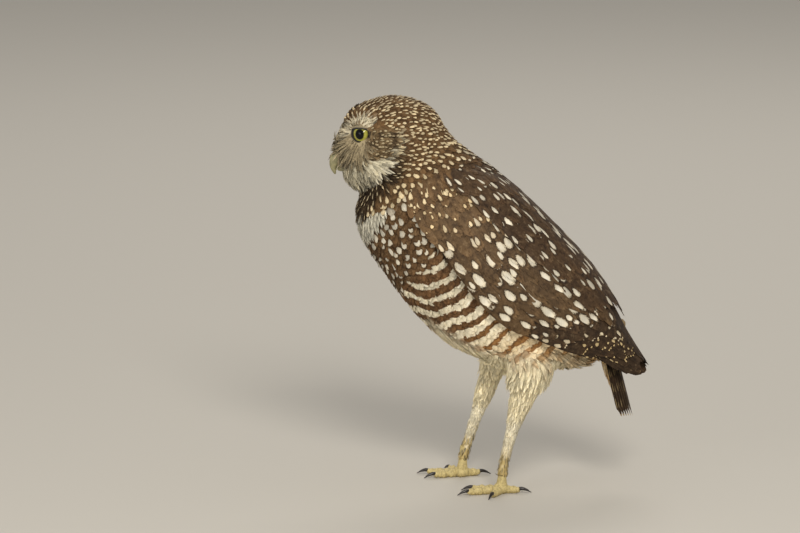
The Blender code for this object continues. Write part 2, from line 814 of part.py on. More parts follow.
def claw_form(name, start, ahead, length):
    """A claw that curves from the tip of its toe down towards the floor."""
    rows = []
    for share, height, thick in CLAW_CURVE:
        place = start + ahead * (length - CLAW_ROOT + CLAW_LENGTH * share)
        rows.append((place.x, place.y, height, CLAW_RADIUS * thick))
    return tube(name, rows, 4, 5)


def surface(name):
    """The colour and roughness of a node, found by the first word of its name."""
    return COLOURS[SURFACES.get(name.split("_")[0], "plumage")]


def finish_objects():
    """Sets the origin to the bottom centre of the whole bird and gives each piece its material."""
    kept = bpy.data.collections.new("burrowing_owl")
    bpy.context.scene.collection.children.link(kept)
    corners = [vertex.co for made in bpy.data.objects for vertex in made.data.vertices]
    low = Vector(min(corner[k] for corner in corners) for k in range(3))
    high = Vector(max(corner[k] for corner in corners) for k in range(3))
    shift = Matrix.Translation((-(low.x + high.x) / 2, -(low.y + high.y) / 2, -low.z))
    for made in bpy.data.objects:
        made.data.transform(shift)
        colour, roughness = surface(made.name)
        material = bpy.data.materials.new(made.name)
        material.use_nodes = True
        shader = material.node_tree.nodes["Principled BSDF"]
        shader.inputs["Base Color"].default_value = (*colour, 1.0)
        shader.inputs["Roughness"].default_value = roughness
        shader.inputs["Metallic"].default_value = 0.0
        made.data.materials.clear()
        made.data.materials.append(material)
        for home in made.users_collection:
            home.objects.unlink(made)
        kept.objects.link(made)
        made.data.name = made.name


def main():
    for made in list(bpy.data.objects):
        bpy.data.objects.remove(made)
    torso = make_trunk()
    for side, sign in (("left", 1), ("right", -1)):
        sphere(f"eye_{side}", eye_frame(sign)[0], EYE_RADIUS * MM)
    for side, sign in (("left", -1), ("right", 1)):
        make_wing(side, sign)
        make_leg(side, torso)
    make_tail(torso)
    for sign in (1, -1):
        boolean(torso, wing_pad(sign, GAP / MM), "DIFFERENCE")
    largest_surface(torso)
    finish_objects()


main()
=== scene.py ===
"""Burrowing owl, life size, in full plumage over the fixed frame of the solids.

Shapes are worked out in millimetres in the bird's own frame: it faces -X, its left side is towards
-Y, and its zero is on the floor between the feet. Each mesh is turned into metres when it is made.
"""

import math

import bmesh
import bpy
import numpy as np
from mathutils import Matrix, Vector
from mathutils.bvhtree import BVHTree


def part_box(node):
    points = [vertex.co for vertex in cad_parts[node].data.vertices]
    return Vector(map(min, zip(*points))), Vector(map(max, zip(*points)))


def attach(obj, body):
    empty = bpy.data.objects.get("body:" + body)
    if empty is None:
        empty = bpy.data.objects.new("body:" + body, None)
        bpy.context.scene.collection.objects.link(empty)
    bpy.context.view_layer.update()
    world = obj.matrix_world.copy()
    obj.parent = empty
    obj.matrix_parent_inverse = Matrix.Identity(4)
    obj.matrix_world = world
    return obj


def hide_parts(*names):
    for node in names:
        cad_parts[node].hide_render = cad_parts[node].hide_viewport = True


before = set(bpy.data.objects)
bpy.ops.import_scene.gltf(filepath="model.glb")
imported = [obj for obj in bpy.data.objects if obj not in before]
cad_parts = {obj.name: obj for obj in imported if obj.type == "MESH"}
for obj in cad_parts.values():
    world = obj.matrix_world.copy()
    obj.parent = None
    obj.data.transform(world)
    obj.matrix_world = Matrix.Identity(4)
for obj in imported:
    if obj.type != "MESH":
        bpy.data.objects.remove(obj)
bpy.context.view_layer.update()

MM = 0.001
SIDES = ("left", "right")
# The way to each side of the bird along Y.
OUTWARD = {"left": -1, "right": 1}

# Sections of the body and of the outline with folded wings, as in the solids: back point (x, z),
# belly point (x, z) and half width.
BODY = (
    (-34, 226, -76, 182, 24.0),
    (-25, 217, -81, 171, 28.5),
    (-19, 210, -81, 160, 31.5),
    (-9, 202.5, -76, 147, 35.5),
    (7, 190.5, -63, 128, 38.5),
    (23, 172.5, -46, 105, 40.5),
    (40, 151, -24, 85, 40.5),
    (54, 129, 4, 74, 37.0),
    (63, 109, 30, 72, 29.0),
    (68, 94, 50, 73, 19.0),
    (70, 83, 62, 75, 9.0),
)
MANTLE = (
    (-20, 211, -81, 162, 32.0),
    (-10, 203.5, -75, 147, 37.5),
    (7, 193, -62, 128, 43.0),
    (25, 177, -44, 103, 46.5),
    (44, 157, -20, 82, 46.5),
    (62, 136, 8, 72, 43.0),
    (75, 116, 35, 70, 36.0),
    (84, 98, 52, 68, 28.0),
    (92, 84, 72, 64, 20.0),
    (101, 70, 92, 63, 10.0),
)
WING_START = 0.9
WING_END = 9.0

# Head: centre, turn of the face to the left, and in the head's frame (forward, sideways, up) the
# place of the eye on the face and how deep the ball's centre lies behind it.
HEAD_CENTRE = (-58.0, 0.0, 207.5)
HEAD_YAW = math.radians(10)
EYE_ON_FACE = (24.1, 16.8, 11.0)
EYE_OUTWARD = math.radians(36)
EYE_UPWARD = 0.06
EYE_DEPTH = 7.6
EYE_RADIUS = 8.0


def srgb(red, green, blue):
    """A colour as linear light from screen values of 0 to 255."""
    values = np.array((red, green, blue)) / 255
    return np.where(values <= 0.04045, values / 12.92, ((values + 0.055) / 1.055) ** 2.4)


# Colours of the plumage.
CROWN = srgb(98, 73, 45)
CROWN_SPOT = srgb(216, 198, 162)
WHITE = srgb(230, 222, 204)
BROW = srgb(194, 184, 160)
LORES = srgb(156, 142, 114)
CHEEK = srgb(104, 86, 60)
CHIN = srgb(202, 194, 170)
RIM = srgb(226, 219, 198)
RUFF = srgb(196, 182, 150)
COLLAR = srgb(58, 44, 28)
CRESCENT = srgb(208, 203, 186)
BREAST = srgb(92, 68, 42)
FLANK = srgb(106, 76, 47)
FLANK_WHITE = srgb(255, 248, 228)
BELLY = srgb(252, 240, 208)
VENT = srgb(236, 204, 150)
RUFOUS = srgb(182, 132, 76)
THIGH = srgb(255, 243, 208)
BACK = srgb(76, 56, 36)
COVERT = srgb(114, 88, 58)
FLIGHT = srgb(60, 44, 28)
BUFF = srgb(214, 190, 142)
LEG = srgb(246, 238, 214)
TARSUS = srgb(176, 156, 106)
LID_DARK = srgb(20, 16, 14)
GAPE = srgb(48, 38, 30)


def smooth(low, high, value):
    """A smooth step from 0 at low to 1 at high."""
    share = np.clip((value - low) / (high - low), 0, 1)
    return share * share * (3 - 2 * share)


def unit(vectors):
    """The same vectors at length 1."""
    return vectors / np.maximum(np.linalg.norm(vectors, axis=-1, keepdims=True), 1e-9)


def mix(low, high, share):
    """Between two values, with a share for each row."""
    share = np.asarray(share)[..., None]
    return low * (1 - share) + high * share


def wobble(points, size, seed):
    """A smooth random field from about -1 to 1, whose humps are that many millimetres across."""
    draw = np.random.default_rng(seed)
    total = np.zeros(len(points))
    for _ in range(6):
        way = unit(draw.normal(size=3))
        total += np.sin(points @ way * 2 * math.pi / (size * draw.uniform(0.8, 1.6)) + draw.uniform(0, 6.28))
    return total / 2.6


def between(rows, t):
    """The rows read at t, a place along them, from a smooth curve through them."""
    rows = np.asarray(rows, float)
    last = len(rows) - 1
    t = np.clip(np.asarray(t, float), 0, last)
    i = np.minimum(t.astype(int), last - 1)
    f = (t - i)[..., None]
    a, b, c, d = (rows[np.clip(i + k, 0, last)] for k in (-1, 0, 1, 2))
    return b + 0.5 * f * (c - a + f * (2 * a - 5 * b + 4 * c - d + f * (3 * (b - c) + d - a)))


def on_section(rows, t, angle, side):
    """Points of the sections at t. The angle runs from the back line, 0, to the belly line, pi."""
    back_x, back_z, belly_x, belly_z, half = np.moveaxis(between(rows, t), -1, 0)
    cos, sin = np.cos(angle), np.sin(angle)
    x = (back_x + belly_x) / 2 + (back_x - belly_x) / 2 * cos
    z = (back_z + belly_z) / 2 + (back_z - belly_z) / 2 * cos
    return np.stack((x, side * half * sin, z), -1)


def on_mantle(s, degrees, lift, side):
    """Points over a folded wing, and the direction that stands on the wing there."""
    step = 0.05
    t = WING_START + (WING_END - WING_START) * np.asarray(s, float)
    angle = np.radians(degrees)
    along = on_section(MANTLE, t + step, angle, side) - on_section(MANTLE, t - step, angle, side)
    about = on_section(MANTLE, t, angle + step, side) - on_section(MANTLE, t, angle - step, side)
    out = unit(np.cross(along, about)) * np.asarray(side)[..., None]
    return on_section(MANTLE, t, angle, side) + out * np.asarray(lift, float)[..., None], out


def head_axes():
    """The head's forward, left and up, as rows in the bird's frame."""
    cos, sin = math.cos(HEAD_YAW), math.sin(HEAD_YAW)
    return np.array(((-cos, -sin, 0), (sin, -cos, 0), (0, 0, 1)))


def to_head(points):
    """Points of the bird's frame in the head's frame: forward, left and up from its centre."""
    return (points - np.array(HEAD_CENTRE)) @ head_axes().T


def from_head(points):
    """Points of the head's frame in the bird's frame."""
    return np.asarray(points, float) @ head_axes() + np.array(HEAD_CENTRE)


def eye_place(side):
    """The centre of an eyeball and its outward axis in the bird's frame."""
    sign = -OUTWARD[side]
    axis = unit(np.array((math.cos(EYE_OUTWARD), sign * math.sin(EYE_OUTWARD), EYE_UPWARD)))
    ahead, across, up = EYE_ON_FACE
    centre = np.array((ahead, sign * across, up)) - axis * EYE_DEPTH
    return from_head(centre), axis @ head_axes()


# Where the bird's own zero lies in the frame of the solids, read from an eye.
eye_low, eye_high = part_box("eye_left")
ORIGIN = np.array((eye_low + eye_high) / 2) / MM - eye_place("left")[0]


def mesh_of(name, points, faces):
    """A mesh in metres from points in the bird's frame, in millimetres."""
    mesh = bpy.data.meshes.new(name)
    mesh.from_pydata(((np.asarray(points) + ORIGIN) * MM).tolist(), [], faces)
    mesh.update()
    return mesh


def shown(name, mesh, material, slot, *replaced):
    """Links a piece, which rides on the still body, and hides the solids that it stands for."""
    made = bpy.data.objects.new(name, mesh)
    bpy.context.scene.collection.objects.link(made)
    mesh.materials.append(material)
    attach(made, "root")
    if replaced:
        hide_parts(*replaced)
    return made


# Skin

# How far the skin lies under the solids' surface, by region.
DEPTH_CROWN = 1.8
DEPTH_FACE = 1.3
DEPTH_BODY = 2.5
DEPTH_WING = 1.5
DEPTH_SHANK = 1.0
VOXEL = 1.1
# Before the remesh each solid is grown by this much, so that neighbours run into each other.
GROWN = 0.45
# Wing pads as in the solids: place along the wing, upper and lower edge in degrees, and how deep
# the outer and inner faces lie.
WING_PAD = (
    (0.00, 60, 92, 3.0, 8.0),
    (0.06, 38, 99, 2.4, 9.0),
    (0.16, 18, 101, 2.2, 9.5),
    (0.28, -3, 102, 2.2, 9.5),
    (0.50, -6, 102, 2.2, 9.5),
    (0.66, -6, 99, 2.6, 7.6),
    (0.78, 4, 94, 2.8, 6.6),
    (0.86, 18, 88, 3.4, 6.2),
)
# The form under the tail: x, z, half thickness and half width.
TAIL_COVERTS = (
    (58, 104, 4.0, 7.0),
    (66, 94, 6.4, 10.0),
    (70.5, 82, 6.6, 10.5),
    (73, 70, 5.2, 10.0),
    (75.5, 59, 3.4, 7.5),
    (77.5, 48, 1.2, 3.0),
)


def ring_faces(rings, sides):
    """The faces of a closed form through rings of points, with its two caps."""
    faces = [
        (r * sides + k, r * sides + (k + 1) % sides, (r + 1) * sides + (k + 1) % sides, (r + 1) * sides + k)
        for r in range(rings - 1)
        for k in range(sides)
    ]
    return [*faces, tuple(range(sides))[::-1], tuple((rings - 1) * sides + k for k in range(sides))]


def pad_form(side):
    """Points and faces of a wing's pad, a rounded slab that lies on the body."""
    rows, around = 24, 12
    points = []
    for s in np.linspace(0, 0.86, rows):
        place = np.interp(s, [row[0] for row in WING_PAD], range(len(WING_PAD)))
        _, high, low, outer, inner = between(WING_PAD, place)
        share = np.concatenate((np.linspace(0, 1, around), np.linspace(1, 0, around)[1:-1]))
        face = np.concatenate((np.ones(around), -np.ones(around - 2)))
        bulge = np.sqrt(1 - (1 - np.minimum(np.minimum(share, 1 - share), 0.2) / 0.2) ** 2)
        lift = -(outer + inner) / 2 + face * (inner - outer) / 2 * bulge
        points.append(on_mantle(np.full(len(share), s), high + (low - high) * share, lift, side)[0])
    return np.concatenate(points), ring_faces(rows, 2 * around - 2)


def covert_form():
    """Points and faces of the form under the tail."""
    sides = 16
    points = []
    for t in np.linspace(0, len(TAIL_COVERTS) - 1, 14):
        x, z, thick, wide = between(TAIL_COVERTS, t)
        run = unit((between(TAIL_COVERTS, t + 0.05) - between(TAIL_COVERTS, t - 0.05))[:2])
        angle = np.arange(sides) * 2 * math.pi / sides
        up = np.cos(angle) * thick
        points.append(np.stack((x - run[1] * up, np.sin(angle) * wide, z + run[0] * up), -1))
    return np.concatenate(points), ring_faces(14, sides)


def skin_mesh():
    """One closed skin through all the solids of flesh, in the bird's frame."""
    whole = bmesh.new()
    nodes = ["head", "neck", "torso", "eye_left", "eye_right", "bill_upper", "bill_lower"]
    nodes += [f"{part}_{side}" for part in ("thigh", "shank") for side in SIDES]
    for node in nodes:
        part = bmesh.new()
        part.from_mesh(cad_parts[node].data)
        bmesh.ops.scale(part, vec=(1 / MM,) * 3, verts=part.verts)
        bmesh.ops.remove_doubles(part, verts=part.verts, dist=0.001)
        part.normal_update()
        for vertex in part.verts:
            vertex.co += vertex.normal * GROWN - Vector(ORIGIN)
        mesh = bpy.data.meshes.new(node)
        part.to_mesh(mesh)
        part.free()
        whole.from_mesh(mesh)
        bpy.data.meshes.remove(mesh)
    for points, faces in (pad_form(-1), pad_form(1), covert_form()):
        start = [whole.verts.new(p) for p in points.tolist()]
        made = [whole.faces.new([start[k] for k in face]) for face in faces]
        bmesh.ops.recalc_face_normals(whole, faces=made)
    mesh = bpy.data.meshes.new("skin")
    whole.to_mesh(mesh)
    whole.free()
    made = bpy.data.objects.new("skin", mesh)
    bpy.context.scene.collection.objects.link(made)
    step = made.modifiers.new("one skin", "REMESH")
    step.mode = "VOXEL"
    step.voxel_size = VOXEL
    soften = made.modifiers.new("soften", "SMOOTH")
    soften.factor = 0.5
    soften.iterations = 8
    graph = bpy.context.evaluated_depsgraph_get()
    smoothed = bpy.data.meshes.new_from_object(made.evaluated_get(graph), depsgraph=graph)
    bpy.data.objects.remove(made)
    return smoothed


def coordinates(mesh):
    """The points of a mesh as an array."""
    values = np.empty(len(mesh.vertices) * 3, np.float32)
    mesh.vertices.foreach_get("co", values)
    return values.reshape(-1, 3).astype(float)


def normals(mesh):
    """The directions that stand on a mesh at its points."""
    values = np.empty(len(mesh.vertices) * 3, np.float32)
    mesh.vertex_normals.foreach_get("vector", values)
    return values.reshape(-1, 3).astype(float)


def skin_depth(points):
    """How deep the skin lies under the solids there."""
    head = to_head(points)
    above = smooth(178, 196, points[:, 2]) * smooth(12, -8, points[:, 0] + 30)
    face = above * smooth(4, 18, head[:, 0]) * smooth(20, 12, head[:, 2])
    depth = np.full(len(points), DEPTH_BODY)
    depth = depth + (DEPTH_CROWN - depth) * above
    depth = depth + (DEPTH_FACE - depth) * face
    wing = smooth(70, 84, points[:, 0]) * smooth(60, 70, points[:, 2])
    depth = depth + (DEPTH_WING - depth) * wing
    leg = smooth(72, 52, points[:, 2]) * smooth(45, 35, points[:, 0])
    return depth + (DEPTH_SHANK - depth) * leg


class Skin:
    """The skin in the bird's frame, with what roots and feathers read from it."""

    def __init__(self, mesh):
        self.mesh = mesh
        moved = coordinates(mesh)
        moved -= normals(mesh) * skin_depth(moved)[:, None]
        for side in SIDES:
            centre, axis, forward, above = eye_axes(side)
            away = moved - centre
            far = np.maximum(np.linalg.norm(away, axis=1), 1e-6)
            seen = smooth(1.1, 0.85, np.hypot((away @ forward) / 6.4, (away @ above) / 4.4))
            seen = seen * (away @ axis > 0) * (far < EYE_RADIUS + 4)
            deep = np.maximum(far - (EYE_RADIUS - 0.9), 0) * seen
            moved -= away / far[:, None] * deep[:, None]
        mesh.vertices.foreach_set("co", moved.astype(np.float32).ravel())
        mesh.update()
        self.unwrap()
        mesh.calc_loop_triangles()
        count = len(mesh.loop_triangles)
        self.corners = np.empty(count * 3, np.int32)
        mesh.loop_triangles.foreach_get("vertices", self.corners)
        self.corners = self.corners.reshape(-1, 3)
        loops = np.empty(count * 3, np.int32)
        mesh.loop_triangles.foreach_get("loops", loops)
        flat = np.empty(len(mesh.loops) * 2, np.float32)
        mesh.uv_layers["OFBake"].data.foreach_get("uv", flat)
        self.patches = flat.reshape(-1, 2)[loops.reshape(-1, 3)]
        self.points = coordinates(mesh)
        self.normals = normals(mesh)
        self.tree = BVHTree.FromPolygons(self.points.tolist(), self.corners.tolist())

    def unwrap(self):
        """Gives the skin its own flat map."""
        made = bpy.data.objects.new("unwrapped", self.mesh)
        bpy.context.scene.collection.objects.link(made)
        bpy.context.view_layer.objects.active = made
        made.select_set(True)
        self.mesh.uv_layers.new(name="OFBake")
        bpy.ops.object.mode_set(mode="EDIT")
        bpy.ops.mesh.select_all(action="SELECT")
        bpy.ops.uv.smart_project(angle_limit=math.radians(70), island_margin=0.002)
        bpy.ops.object.mode_set(mode="OBJECT")
        bpy.data.objects.remove(made)

    def nearest(self, points):
        """The nearest places on the skin, the directions that stand there, and their triangles."""
        found = [self.tree.find_nearest(p) for p in points.tolist()]
        places = np.array([f[0] for f in found])
        triangles = np.array([f[2] for f in found])
        return places, self.smooth_normals(places, triangles), triangles

    def shares(self, places, triangles):
        """How much each corner of its triangle counts at a place."""
        a, b, c = (self.points[self.corners[triangles, k]] for k in range(3))
        whole = np.maximum(np.linalg.norm(np.cross(b - a, c - a), axis=1), 1e-12)
        first = np.linalg.norm(np.cross(b - places, c - places), axis=1) / whole
        second = np.linalg.norm(np.cross(c - places, a - places), axis=1) / whole
        return np.stack((first, second, np.maximum(1 - first - second, 0)), -1)

    def smooth_normals(self, places, triangles):
        """The smoothed directions that stand on the skin."""
        shares = self.shares(places, triangles)
        return unit(np.einsum("nk,nkc->nc", shares, self.normals[self.corners[triangles]]))

    def patch_of(self, places, triangles):
        """Where the places lie on the skin's flat map."""
        return np.einsum("nk,nkc->nc", self.shares(places, triangles), self.patches[triangles])

    def scatter(self, spacing, seed, crowd=5):
        """Roots spread evenly. spacing gives each place the room that it wants, or 0 for none."""
        draw = np.random.default_rng(seed)
        a, b, c = (self.points[self.corners[:, k]] for k in range(3))
        area = np.linalg.norm(np.cross(b - a, c - a), axis=1) / 2
        middle = (a + b + c) / 3
        flat = unit(np.cross(b - a, c - a))
        room = spacing(middle, flat)
        weight = np.where(room > 0, area / np.maximum(room, 0.3) ** 2, 0)
        count = int(weight.sum() * 1.3 * crowd)
        picked = draw.choice(len(weight), count, p=weight / weight.sum())
        first, second = draw.random(count), draw.random(count)
        over = first + second > 1
        first[over], second[over] = 1 - first[over], 1 - second[over]
        places = a[picked] + (b - a)[picked] * first[:, None] + (c - a)[picked] * second[:, None]
        wants = room[picked]
        cell = wants.max()
        cells = np.floor(places / cell).astype(int).tolist()
        taken = {}
        kept = []
        around = [(i, j, k) for i in (-1, 0, 1) for j in (-1, 0, 1) for k in (-1, 0, 1)]
        listed = places.tolist()
        rooms = wants.tolist()
        for n, (x, y, z) in enumerate(listed):
            i, j, k = cells[n]
            reach = rooms[n] ** 2
            if any(
                (x - q[0]) ** 2 + (y - q[1]) ** 2 + (z - q[2]) ** 2 < reach
                for di, dj, dk in around
                for q in taken.get((i + di, j + dj, k + dk), ())
            ):
                continue
            taken.setdefault((i, j, k), []).append((x, y, z))
            kept.append(n)
        places = places[kept]
        triangles = picked[kept]
        return places, self.smooth_normals(places, triangles), triangles


# Feathers

# Rows and columns of the net that carries a feather over the skin, and how far past the feather's
# own length it reaches.
NET_ROWS = 5
NET_REACH = 1.2
# Half the size of a feather's patch on the flat map.
PATCH = 0.0015


class Template:
    """The form of one feather as points (u across, v along, height) with its triangles: a plate that
    tapers to nothing at the rim, a fringe of short strands around its end, and long loose hairs."""

    def __init__(self, outline, rows, columns, thick, fringe, length, hairs, seed):
        draw = np.random.default_rng(seed)
        self.points = []
        self.rim = []
        self.triangles = []
        self.plate(outline, rows, columns, thick, draw)
        for k in range(fringe):
            self.strand(outline, (k + 0.5) / fringe, length, thick, draw)
        for _ in range(hairs):
            self.hair(draw)
        self.points = np.array(self.points)
        self.rim = np.array(self.rim)
        self.triangles = np.array(self.triangles)

    def put(self, point, rim=False):
        """Adds a point and returns its number."""
        self.points.append(point)
        self.rim.append(rim)
        return len(self.points) - 1

    def plate(self, outline, rows, columns, thick, draw):
        """The vane, as a closed lens of two nets that share their rim."""
        top, under = {}, {}
        for r, (v, half) in enumerate(self.outline_rows(outline, rows)):
            for k in range(columns):
                u = -1 + 2 * k / (columns - 1)
                rim = r in (0, rows - 1) or k in (0, columns - 1)
                if rim:
                    ragged = draw.uniform(-0.025, 0.025)
                    wide = half * draw.uniform(0.93, 1.05)
                    top[r, k] = under[r, k] = self.put((u * wide, v + ragged, 0.0), True)
                else:
                    height = thick * (1 - u * u) * (1 - 0.6 * v)
                    top[r, k] = self.put((u * half, v, height))
                    under[r, k] = self.put((u * half, v, -0.4 * height))
        for r in range(rows - 1):
            for k in range(columns - 1):
                for net, turn in ((top, 1), (under, -1)):
                    a, b, c, d = net[r, k], net[r, k + 1], net[r + 1, k + 1], net[r + 1, k]
                    self.triangles += [(a, b, c)[::turn], (a, c, d)[::turn]]

    @staticmethod
    def outline_rows(outline, rows):
        """Places along the feather and its half width there."""
        places = np.linspace(0, 1, rows) ** 0.85
        return [(v, float(np.interp(v, [p[0] for p in outline], [p[1] for p in outline]))) for v in places]

    def strand(self, outline, place, length, thick, draw):
        """One tapered strand of the fringe, which leaves the rim outwards and ahead."""
        turn = (place * 2 - 1) * 1.2
        v = 0.5 + 0.44 * math.cos(turn * 1.25)
        half = float(np.interp(v, [p[0] for p in outline], [p[1] for p in outline]))
        u = math.copysign(half * min(1, abs(turn) * 1.2), turn) * 0.86
        ahead = length * draw.uniform(0.5, 1.0)
        lean = math.sin(turn) * length * draw.uniform(0.5, 1.2)
        wide = draw.uniform(0.06, 0.10)
        a = self.put((u - wide, v - 0.08, 0.0))
        b = self.put((u + wide, v - 0.08, 0.0))
        c = self.put((u, v - 0.08, thick * 0.6))
        d = self.put((u + lean, v + ahead, draw.uniform(-0.6, 1.0) * thick))
        self.triangles += [(a, b, c), (a, d, b), (b, d, c), (c, d, a)]

    def hair(self, draw):
        """A long hair in two tapering stretches, from near the root to past the tip."""
        u, v = draw.uniform(-0.6, 0.6), draw.uniform(-0.02, 0.40)
        end_u, end_v = u * 1.5 + draw.normal(0, 0.28), draw.uniform(0.72, 1.14)
        wide, high = draw.uniform(0.05, 0.09), draw.uniform(-0.1, 0.45)
        rings = []
        for share in (0.0, 0.55):
            across = u + (end_u - u) * share**1.4
            along = v + (end_v - v) * share
            reach = wide * (1 - 0.3 * share)
            level = high * share
            rings.append((
                self.put((across - reach, along, level)),
                self.put((across + reach, along, level)),
                self.put((across, along, level + 0.14)),
            ))
        tip = self.put((end_u, end_v, high))
        root, middle = rings
        self.triangles.append(root)
        for k in range(3):
            a, b = root[k], root[(k + 1) % 3]
            c, d = middle[k], middle[(k + 1) % 3]
            self.triangles += [(a, c, d), (a, d, b), (c, tip, d)]


def net_weights(points, rows):
    """How much each point of a net of so many rows counts at each point of a template."""
    u, v = points[:, 0], points[:, 1]
    across = np.stack((u * (u - 1) / 2, 1 - u * u, u * (u + 1) / 2), -1)
    t = np.clip(v / NET_REACH * (rows - 1), 0, rows - 1)
    i = np.minimum(t.astype(int), rows - 2)
    f = t - i
    along = np.zeros((len(points), rows))
    along[np.arange(len(points)), i] = 1 - f
    along[np.arange(len(points)), i + 1] = f
    return np.einsum("pr,pc->prc", along, across)


def skin_nets(skin, roots, directions, lengths, halves):
    """For each feather a net of points on the skin, from its root along its direction."""
    place, out, _ = skin.nearest(roots)
    ahead = unit(directions - out * np.sum(directions * out, axis=1, keepdims=True))
    nets = np.empty((len(roots), NET_ROWS, 3, 3))
    outs = np.empty((len(roots), NET_ROWS, 3, 3))
    step = (lengths * NET_REACH / (NET_ROWS - 1))[:, None]
    for r in range(NET_ROWS):
        across = unit(np.cross(ahead, out))
        nets[:, r, 1], outs[:, r, 1] = place, out
        for k, way in ((0, -1), (2, 1)):
            wanted = place + across * halves[:, None] * way
            found, above, _ = skin.nearest(wanted)
            drop = np.sum((found - wanted) * out, axis=1, keepdims=True)
            nets[:, r, k] = wanted + out * np.clip(drop, -halves[:, None], 0.3 * halves[:, None])
            outs[:, r, k] = unit(above + out)
        if r < NET_ROWS - 1:
            wanted = place + ahead * step
            place, out, _ = skin.nearest(wanted)
            slide = wanted - place
            off = np.linalg.norm(slide, axis=1, keepdims=True)
            place = np.where(off > step * 0.6, wanted, place)
            ahead = unit(ahead - out * np.sum(ahead * out, axis=1, keepdims=True))
    return nets, outs


class Coat:
    """A piece of plumage, gathered feather by feather and then made as one mesh."""

    VALUES = ("ground", "mark", "spots", "edges")

    def __init__(self):
        self.points = []
        self.triangles = []
        self.vane = []
        self.patch = []
        self.values = {name: [] for name in self.VALUES}
        self.bars = []
        self.rim = []
        self.count = 0

    def add(self, template, nets, outs, look, patch, mirrored=False):
        """Adds a feather of that form on each net. look holds an array for each of its values."""
        weights = net_weights(template.points, nets.shape[1]).reshape(len(template.points), -1)
        total = len(nets)
        base = np.einsum("pk,nkc->npc", weights, nets.reshape(total, -1, 3))
        out = unit(np.einsum("pk,nkc->npc", weights, outs.reshape(total, -1, 3)))
        u, v, height = template.points.T
        rise = np.clip(v, 0, None) ** 0.8
        lift = -look["sink"][:, None] + (look["lift"] + look["sink"])[:, None] * rise
        lift = lift + height - look["cup"][:, None] * u * u + look["tilt"][:, None] * u
        points = base + out * lift[:, :, None]
        self.points.append(points.reshape(-1, 3))
        size = len(template.points)
        starts = self.count + np.arange(total)[:, None, None] * size
        corners = template.triangles[:, ::-1] if mirrored else template.triangles
        self.triangles.append((corners[None] + starts).reshape(-1, 3))
        across = u[None] * (look["half"] * look["hand"])[:, None]
        along = (1 - v)[None] * look["length"][:, None]
        self.vane.append(np.stack((across, along), -1).reshape(-1, 2))
        reach = look["patch"][:, None] if "patch" in look else PATCH
        wide = patch[:, None, 0] + u[None] * reach
        tall = patch[:, None, 1] + (2 * v[None] - 1) * reach
        self.patch.append(np.stack((wide, tall), -1).reshape(-1, 2))
        for name in self.VALUES:
            rows = look[name]
            if rows.shape[1] == 3:
                rows = np.concatenate((rows, np.ones((total, 1))), 1)
            self.values[name].append(np.repeat(rows, size, axis=0))
        phase = look["bars"](base) + look["jitter"][:, None] if "bars" in look else np.zeros(points.shape[:2])
        self.bars.append(phase.ravel())
        self.rim.append(np.tile(template.rim, total))
        self.count += total * size

    def make(self, name, material, slot, *replaced):
        """Makes the gathered feathers one piece."""
        mesh = fast_mesh(name, np.concatenate(self.points), np.concatenate(self.triangles))
        corners = np.concatenate(self.triangles).ravel()
        for title, rows in (("Vane", self.vane), ("OFBake", self.patch)):
            flat = np.concatenate(rows)[corners].astype(np.float32)
            mesh.uv_layers.new(name=title).data.foreach_set("uv", flat.ravel())
        write_values(mesh, {key: np.concatenate(rows) for key, rows in self.values.items()})
        write_bars(mesh, np.concatenate(self.bars))
        rim = np.concatenate(self.rim)
        ends = np.empty(len(mesh.edges) * 2, np.int32)
        mesh.edges.foreach_get("vertices", ends)
        sharp = rim[ends.reshape(-1, 2)].all(axis=1)
        mesh.attributes.new("sharp_edge", "BOOLEAN", "EDGE").data.foreach_set("value", sharp)
        made = shown(name, mesh, material, slot, *replaced)
        return made


def fast_mesh(name, points, triangles):
    """A mesh in metres from large arrays of points in the bird's frame and of triangles."""
    mesh = bpy.data.meshes.new(name)
    mesh.vertices.add(len(points))
    mesh.vertices.foreach_set("co", ((points + ORIGIN) * MM).astype(np.float32).ravel())
    mesh.loops.add(len(triangles) * 3)
    mesh.loops.foreach_set("vertex_index", triangles.astype(np.int32).ravel())
    mesh.polygons.add(len(triangles))
    mesh.polygons.foreach_set("loop_start", np.arange(0, len(triangles) * 3, 3, dtype=np.int32))
    mesh.update(calc_edges=True)
    return mesh


def write_values(mesh, values):
    """Stores values of four numbers at each point."""
    for name, rows in values.items():
        layer = mesh.attributes.new(name, "FLOAT_COLOR", "POINT")
        layer.data.foreach_set("color", rows.astype(np.float32).ravel())


def write_bars(mesh, phase):
    """Stores the place among the bars at each point."""
    mesh.attributes.new("bars", "FLOAT", "POINT").data.foreach_set("value", phase.astype(np.float32))


